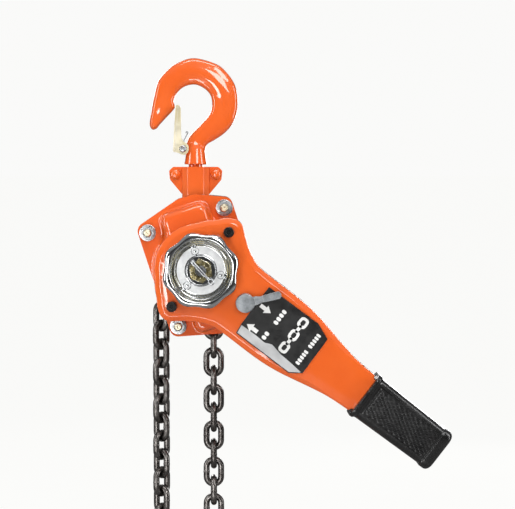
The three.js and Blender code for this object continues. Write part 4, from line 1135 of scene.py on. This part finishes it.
def grip_shape():
    """A sleeve with a collar at its mouth, a bumper at its end and a hatched panel on each face."""
    start, end, low, high = GRIP["start"], GRIP["end"], GRIP["low"], GRIP["high"]
    collar = ((0, 1.0, 1.4), (0.6, 1.8, 2.2), (1.6, 2.1, 2.5), (3.8, 2.1, 2.5), (4.8, 1.8, 2.2),
              (5.6, 1.0, 1.1), (6.6, 0.3, 0.3), (8.5, 0, 0))
    stations = [(start + u, v, h) for u, v, h in collar]
    stations += [(u, 0, 0) for u in np.linspace(start + 20, end - 22, 8)]
    stations += [(end - 13.0, 0, 0), (end - 12.4, 0.3, 0.2), (end - 11.6, 1.1, 0.9), (end - 10.6, 1.5, 1.3)]
    for x, y in arc(1, 8, 90, 8):
        stations.append((end - 6 + 6 * y, 1.5 - 6 * (1 - x), 1.3 - 4 * (1 - x)))
    rings = [[(u, v, h) for v, h in grip_section(u, gv, gh)] for u, gv, gh in stations]
    pocket = slab(rectangle(start - 5, 317.6, -20.4, 20.4), CASE["rear"] - 0.4, CASE["front"] + 0.4)
    front, back = [hatch_panel(start + 10, end - 13.5, 17, base) for base in (high, 0)]
    back = mapped(back, lambda u, v, h: (u, v, low - h))
    return joined(cut(loft(rings), pocket), front, back)


def capsule(u, v, length, width):
    """A bar with round ends, as an outline."""
    return rectangle(u, u + length, v, v + width, min(length, width) / 2 - 0.01)


def arrow(u, v, length, width, d):
    """A broad arrow along the lever, from its tail at u. d is 1 outwards and -1 inwards."""
    neck, side = u + d * length * 0.5, width * 0.22
    return [(u, v - side), (neck, v - side), (neck, v - width / 2), (u + d * length, v),
            (neck, v + width / 2), (neck, v + side), (u, v + side)]


def chain_mark(v, low, high):
    """One link of the printed chain, as a flat ring."""
    hole = rectangle(121, 125.8, v + 3, v + 9.4, 2, 5)
    return slab(rectangle(118, 128.8, v, v + 12.4, 4), low, high, [hole])


def make_label():
    """A black plate with plain arrows, bars and a chain in place of any wording."""
    front = CASE["front"]
    outline = rounded([(72, -31, 0.8), (144, -31, 0.8), (156.5, -22, 0.8), (155.5, 24, 0.8), (137, 31.4, 0.8),
                       (70, 30.4, 0.8), (70.5, -20.5, 0.8)], 4)
    film_sheet = slab(outline, front + 0.3, front + 0.88)
    add_piece("label_film", film_sheet, LEVER, "label", "lever", ["label_plate"], edge=0.12)
    low, high = front + 0.86, front + 0.9
    marks = [arrow(74.7, 9, 14.2, 10, 1), arrow(90, -16.2, 14.6, 10, -1)]
    small = [(97, 2.2 + 4.9 * k, 5.4, 3.9) for k in range(4)]
    small += [(96.5, -18.6 + 5.1 * k, 5.4, 4.1) for k in range(2)]
    small += [(142.8, -17.8 + 3.75 * k, 5.2, 2.9) for k in range(11) if k != 5]
    small += [(121.6, v, 3.6, 10.2) for v in (-8.4, 8.4)]
    marks += [capsule(*mark) for mark in small]
    whites = [slab(anticlockwise(m), low, high) for m in marks]
    chain = [chain_mark(-18 + 16.8 * k, low, high) for k in range(3)]
    add_piece("label_marks", joined(*whites, *chain), LEVER, "print", "lever")
    patch = rounded([(73, -30, 0.6), (71.6, -20.6, 0.6), (90, -20, 6), (103, -20.6, 4), (111, -17.2, 4),
                     (124, -20, 6), (142, -21, 6), (155, -22.3, 0.6), (143.6, -30, 0.6)], 5)
    add_piece("label_patch", slab(anticlockwise(patch), low, high - 0.01), LEVER, "print_grey", "lever")


def selector_shape():
    """A cast knob: a round boss, a necked bar and a hub that goes down into the casing."""
    r, arm = SELECTOR["disc"], SELECTOR["arm"]
    boss = turned([(0.05, 79.2), (r - 0.5, 79.2), (r, 79.8), (r, 85.0), (r - 0.35, 85.8), (r - 1.2, 86.2),
                   (0.05, 86.3)], 56)
    neck = rounded(mirrored([(0, -5.0, 1), (12.5, -4.6, 4), (17, -3.4, 3), (22, -3.5, 0)]), 5)
    bar_end = rounded(mirrored([(19.4, -3.6, 1.0), (arm - 8, -4.1, 20), (arm, -3.9, 3.6)]), 6)
    stem = disc(3.7, 66.6, 79.5, steps=32)
    knob = union(boss, slab(neck, 82.9, 85.4), slab(bar_end, 82.9, 86.4), stem)
    return moved(knob, SELECTOR["u"], SELECTOR["v"], turn=SELECTOR["turn"])


def make_lever():
    for half, shape in (("front", lever_front()), ("rear", lever_rear())):
        add_piece(f"lever_case_{half}", shape, LEVER, "orange_paint", "lever", [f"lever_{half}_shell"],
                  thick=CASE["wall"], edge=0.35)
    for side, word in ((1, "upper"), (-1, "lower")):
        add_piece(f"cap_screw_{word}", casing_screw(side), LEVER, "black_steel", "lever",
                  [f"casing_screw_{word}"], sharp=35)
    add_piece("grip_sleeve", grip_shape(), LEVER, "rubber", "lever", ["lever_grip"], sharp=60)
    make_label()
    add_piece("selector_knob", selector_shape(), LEVER, "cast_zinc", "mode_lever", ["mode_lever"], edge=0.45)


# ---- pieces that stay as the frame has them

KEPT = {
    "steel": ["load_sheave", "load_gear", "idler_gear_upper", "idler_gear_lower", "brake_hub", "ratchet_disc",
              "change_gear", "brake_pawl_upper", "brake_pawl_lower", "chain_stripper", "mode_pawl"],
    "zinc": ["sheave_bearing_front", "sheave_bearing_rear"],
    "lining": ["friction_disc_inner", "friction_disc_outer"],
}


def dress_kept_nodes():
    for look, names in KEPT.items():
        for name in names:
            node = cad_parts[name]
            node.data.materials.clear()
            node.data.materials.append(LOOKS[look])


# ---- studio


# Name, place, target, width, power and height of each lamp, in metres and watts.
MIDDLE = (0.05, 0.0, -0.25)
LIGHTS = (
    ("key", (0.5, -1.65, 0.55), MIDDLE, 0.6, 10, 0.6),
    ("key_low", (-0.55, -1.65, -0.35), (0.1, 0.0, -0.3), 0.4, 6, 0.4),
    ("soft_left", (-1.3, -0.45, 0.0), MIDDLE, 0.3, 8, 1.1),
    ("soft_right", (1.4, -0.5, 0.0), MIDDLE, 0.3, 9, 1.1),
    ("soft_top", (0.1, -0.55, 0.95), (0.05, 0.0, -0.2), 1.0, 8, 0.3),
    ("soft_low", (-0.3, -1.0, -0.66), MIDDLE, 0.7, 3.5, 0.2),
    ("rear_left", (-0.5, 1.8, 0.4), MIDDLE, 0.6, 9, 0.6),
    ("rear_right", (0.7, 1.8, -0.1), MIDDLE, 0.6, 9, 0.6),
)


def area_light(name, at, target, width, power, height):
    data = bpy.data.lights.new(name, "AREA")
    data.energy = power
    data.shape = "RECTANGLE"
    data.size = width
    data.size_y = height
    aim(new_object(name, data), at, target)


# The paper's own glow, the fill light from all round, and the sky seen in gloss: its height from
# 0 straight down to 1 straight up, and its brightness there.
FLOOR_GLOW, FILL = 0.948, 0.17
SKY = ((0.0, 0.12), (0.42, 0.1), (0.5, 0.03), (0.6, 0.04), (0.78, 0.3), (1.0, 0.45))


def by_ray(n, rays, other):
    """The first shader of rays whose kind of ray is being traced, or else other."""
    path = n.add("ShaderNodeLightPath")
    for kind, shader in rays:
        mix = n.add("ShaderNodeMixShader", Fac=path.outputs[kind])
        for socket, given in ((1, other), (2, shader)):
            n.feed(mix.inputs[socket], given.outputs[0])
        other = mix
    return other.outputs[0]


def make_floor(z):
    """A round sheet of pale paper that glows softly, and lights the object only a little."""
    steps = 96
    rings = [[(x, y, z) for x, y in circle(r, steps=steps)] for r in (3.0, 12.0, 60.0, 400.0)]
    points, faces = loft(rings, capped=False)
    mesh = mesh_from((points, [*faces, list(range(steps))]), "floor")
    floor = new_object("floor", mesh)
    mesh.materials.append(bpy.data.materials.new("floor_paper"))
    n = Nodes(mesh.materials[0])
    tone = n.mix(n.ramp(n.noise(3.0), 0.0, 1.0), (0.022, 0.022, 0.0215, 1), (0.026, 0.026, 0.0255, 1))
    n.done(tone, 0.95, n.bump(n.noise(200.0), 0.0002, 0.2), Specular_IOR_Level=0.0,
           Emission_Color=(1.0, 1.0, 0.985, 1), Emission_Strength=FLOOR_GLOW)
    paper = n.add("ShaderNodeBsdfDiffuse", Color=(0.3, 0.3, 0.3, 1))
    shade = by_ray(n, [("Is Camera Ray", n.shader)], paper)
    n.feed(n.tree.nodes["Material Output"].inputs["Surface"], shade)


def make_world():
    """Pale to the camera, soft all round for the fill, and dark between the lights in gloss."""
    scene.world = bpy.data.worlds.new("studio")
    n = Nodes(scene.world)
    n.tree.nodes.clear()
    seen = n.add("ShaderNodeBackground", Color=(0.955, 0.955, 0.945, 1))
    fill = n.add("ShaderNodeBackground", Color=(1.0, 1.0, 1.0, 1), Strength=FILL)
    split = n.add("ShaderNodeSeparateXYZ", Vector=n.add("ShaderNodeTexCoord").outputs["Generated"])
    height = n.add("ShaderNodeMapRange", Value=split.outputs["Z"], From_Min=-1.0)
    ramp = n.add("ShaderNodeValToRGB", Fac=height.outputs["Result"])
    stops = ramp.color_ramp.elements
    while len(stops) < len(SKY):
        stops.new(0.5)
    for stop, (position, value) in zip(stops, SKY):
        stop.position = position
        stop.color = (value, value, value * 1.01, 1)
    sky = n.add("ShaderNodeBackground", Color=ramp.outputs["Color"])
    rays = [("Is Glossy Ray", sky), ("Is Camera Ray", seen)]
    n.add("ShaderNodeOutputWorld", Surface=by_ray(n, rays, fill))


def make_studio():
    for lamp in LIGHTS:
        area_light(*lamp)
    make_world()
    scene.view_settings.view_transform = "Standard"
    make_floor(CAD_BOX[0].z - 0.02)


# ---- everything

make_hook_ends()
make_chains()
make_frame()
make_drive()
make_lever()
dress_kept_nodes()
make_studio()
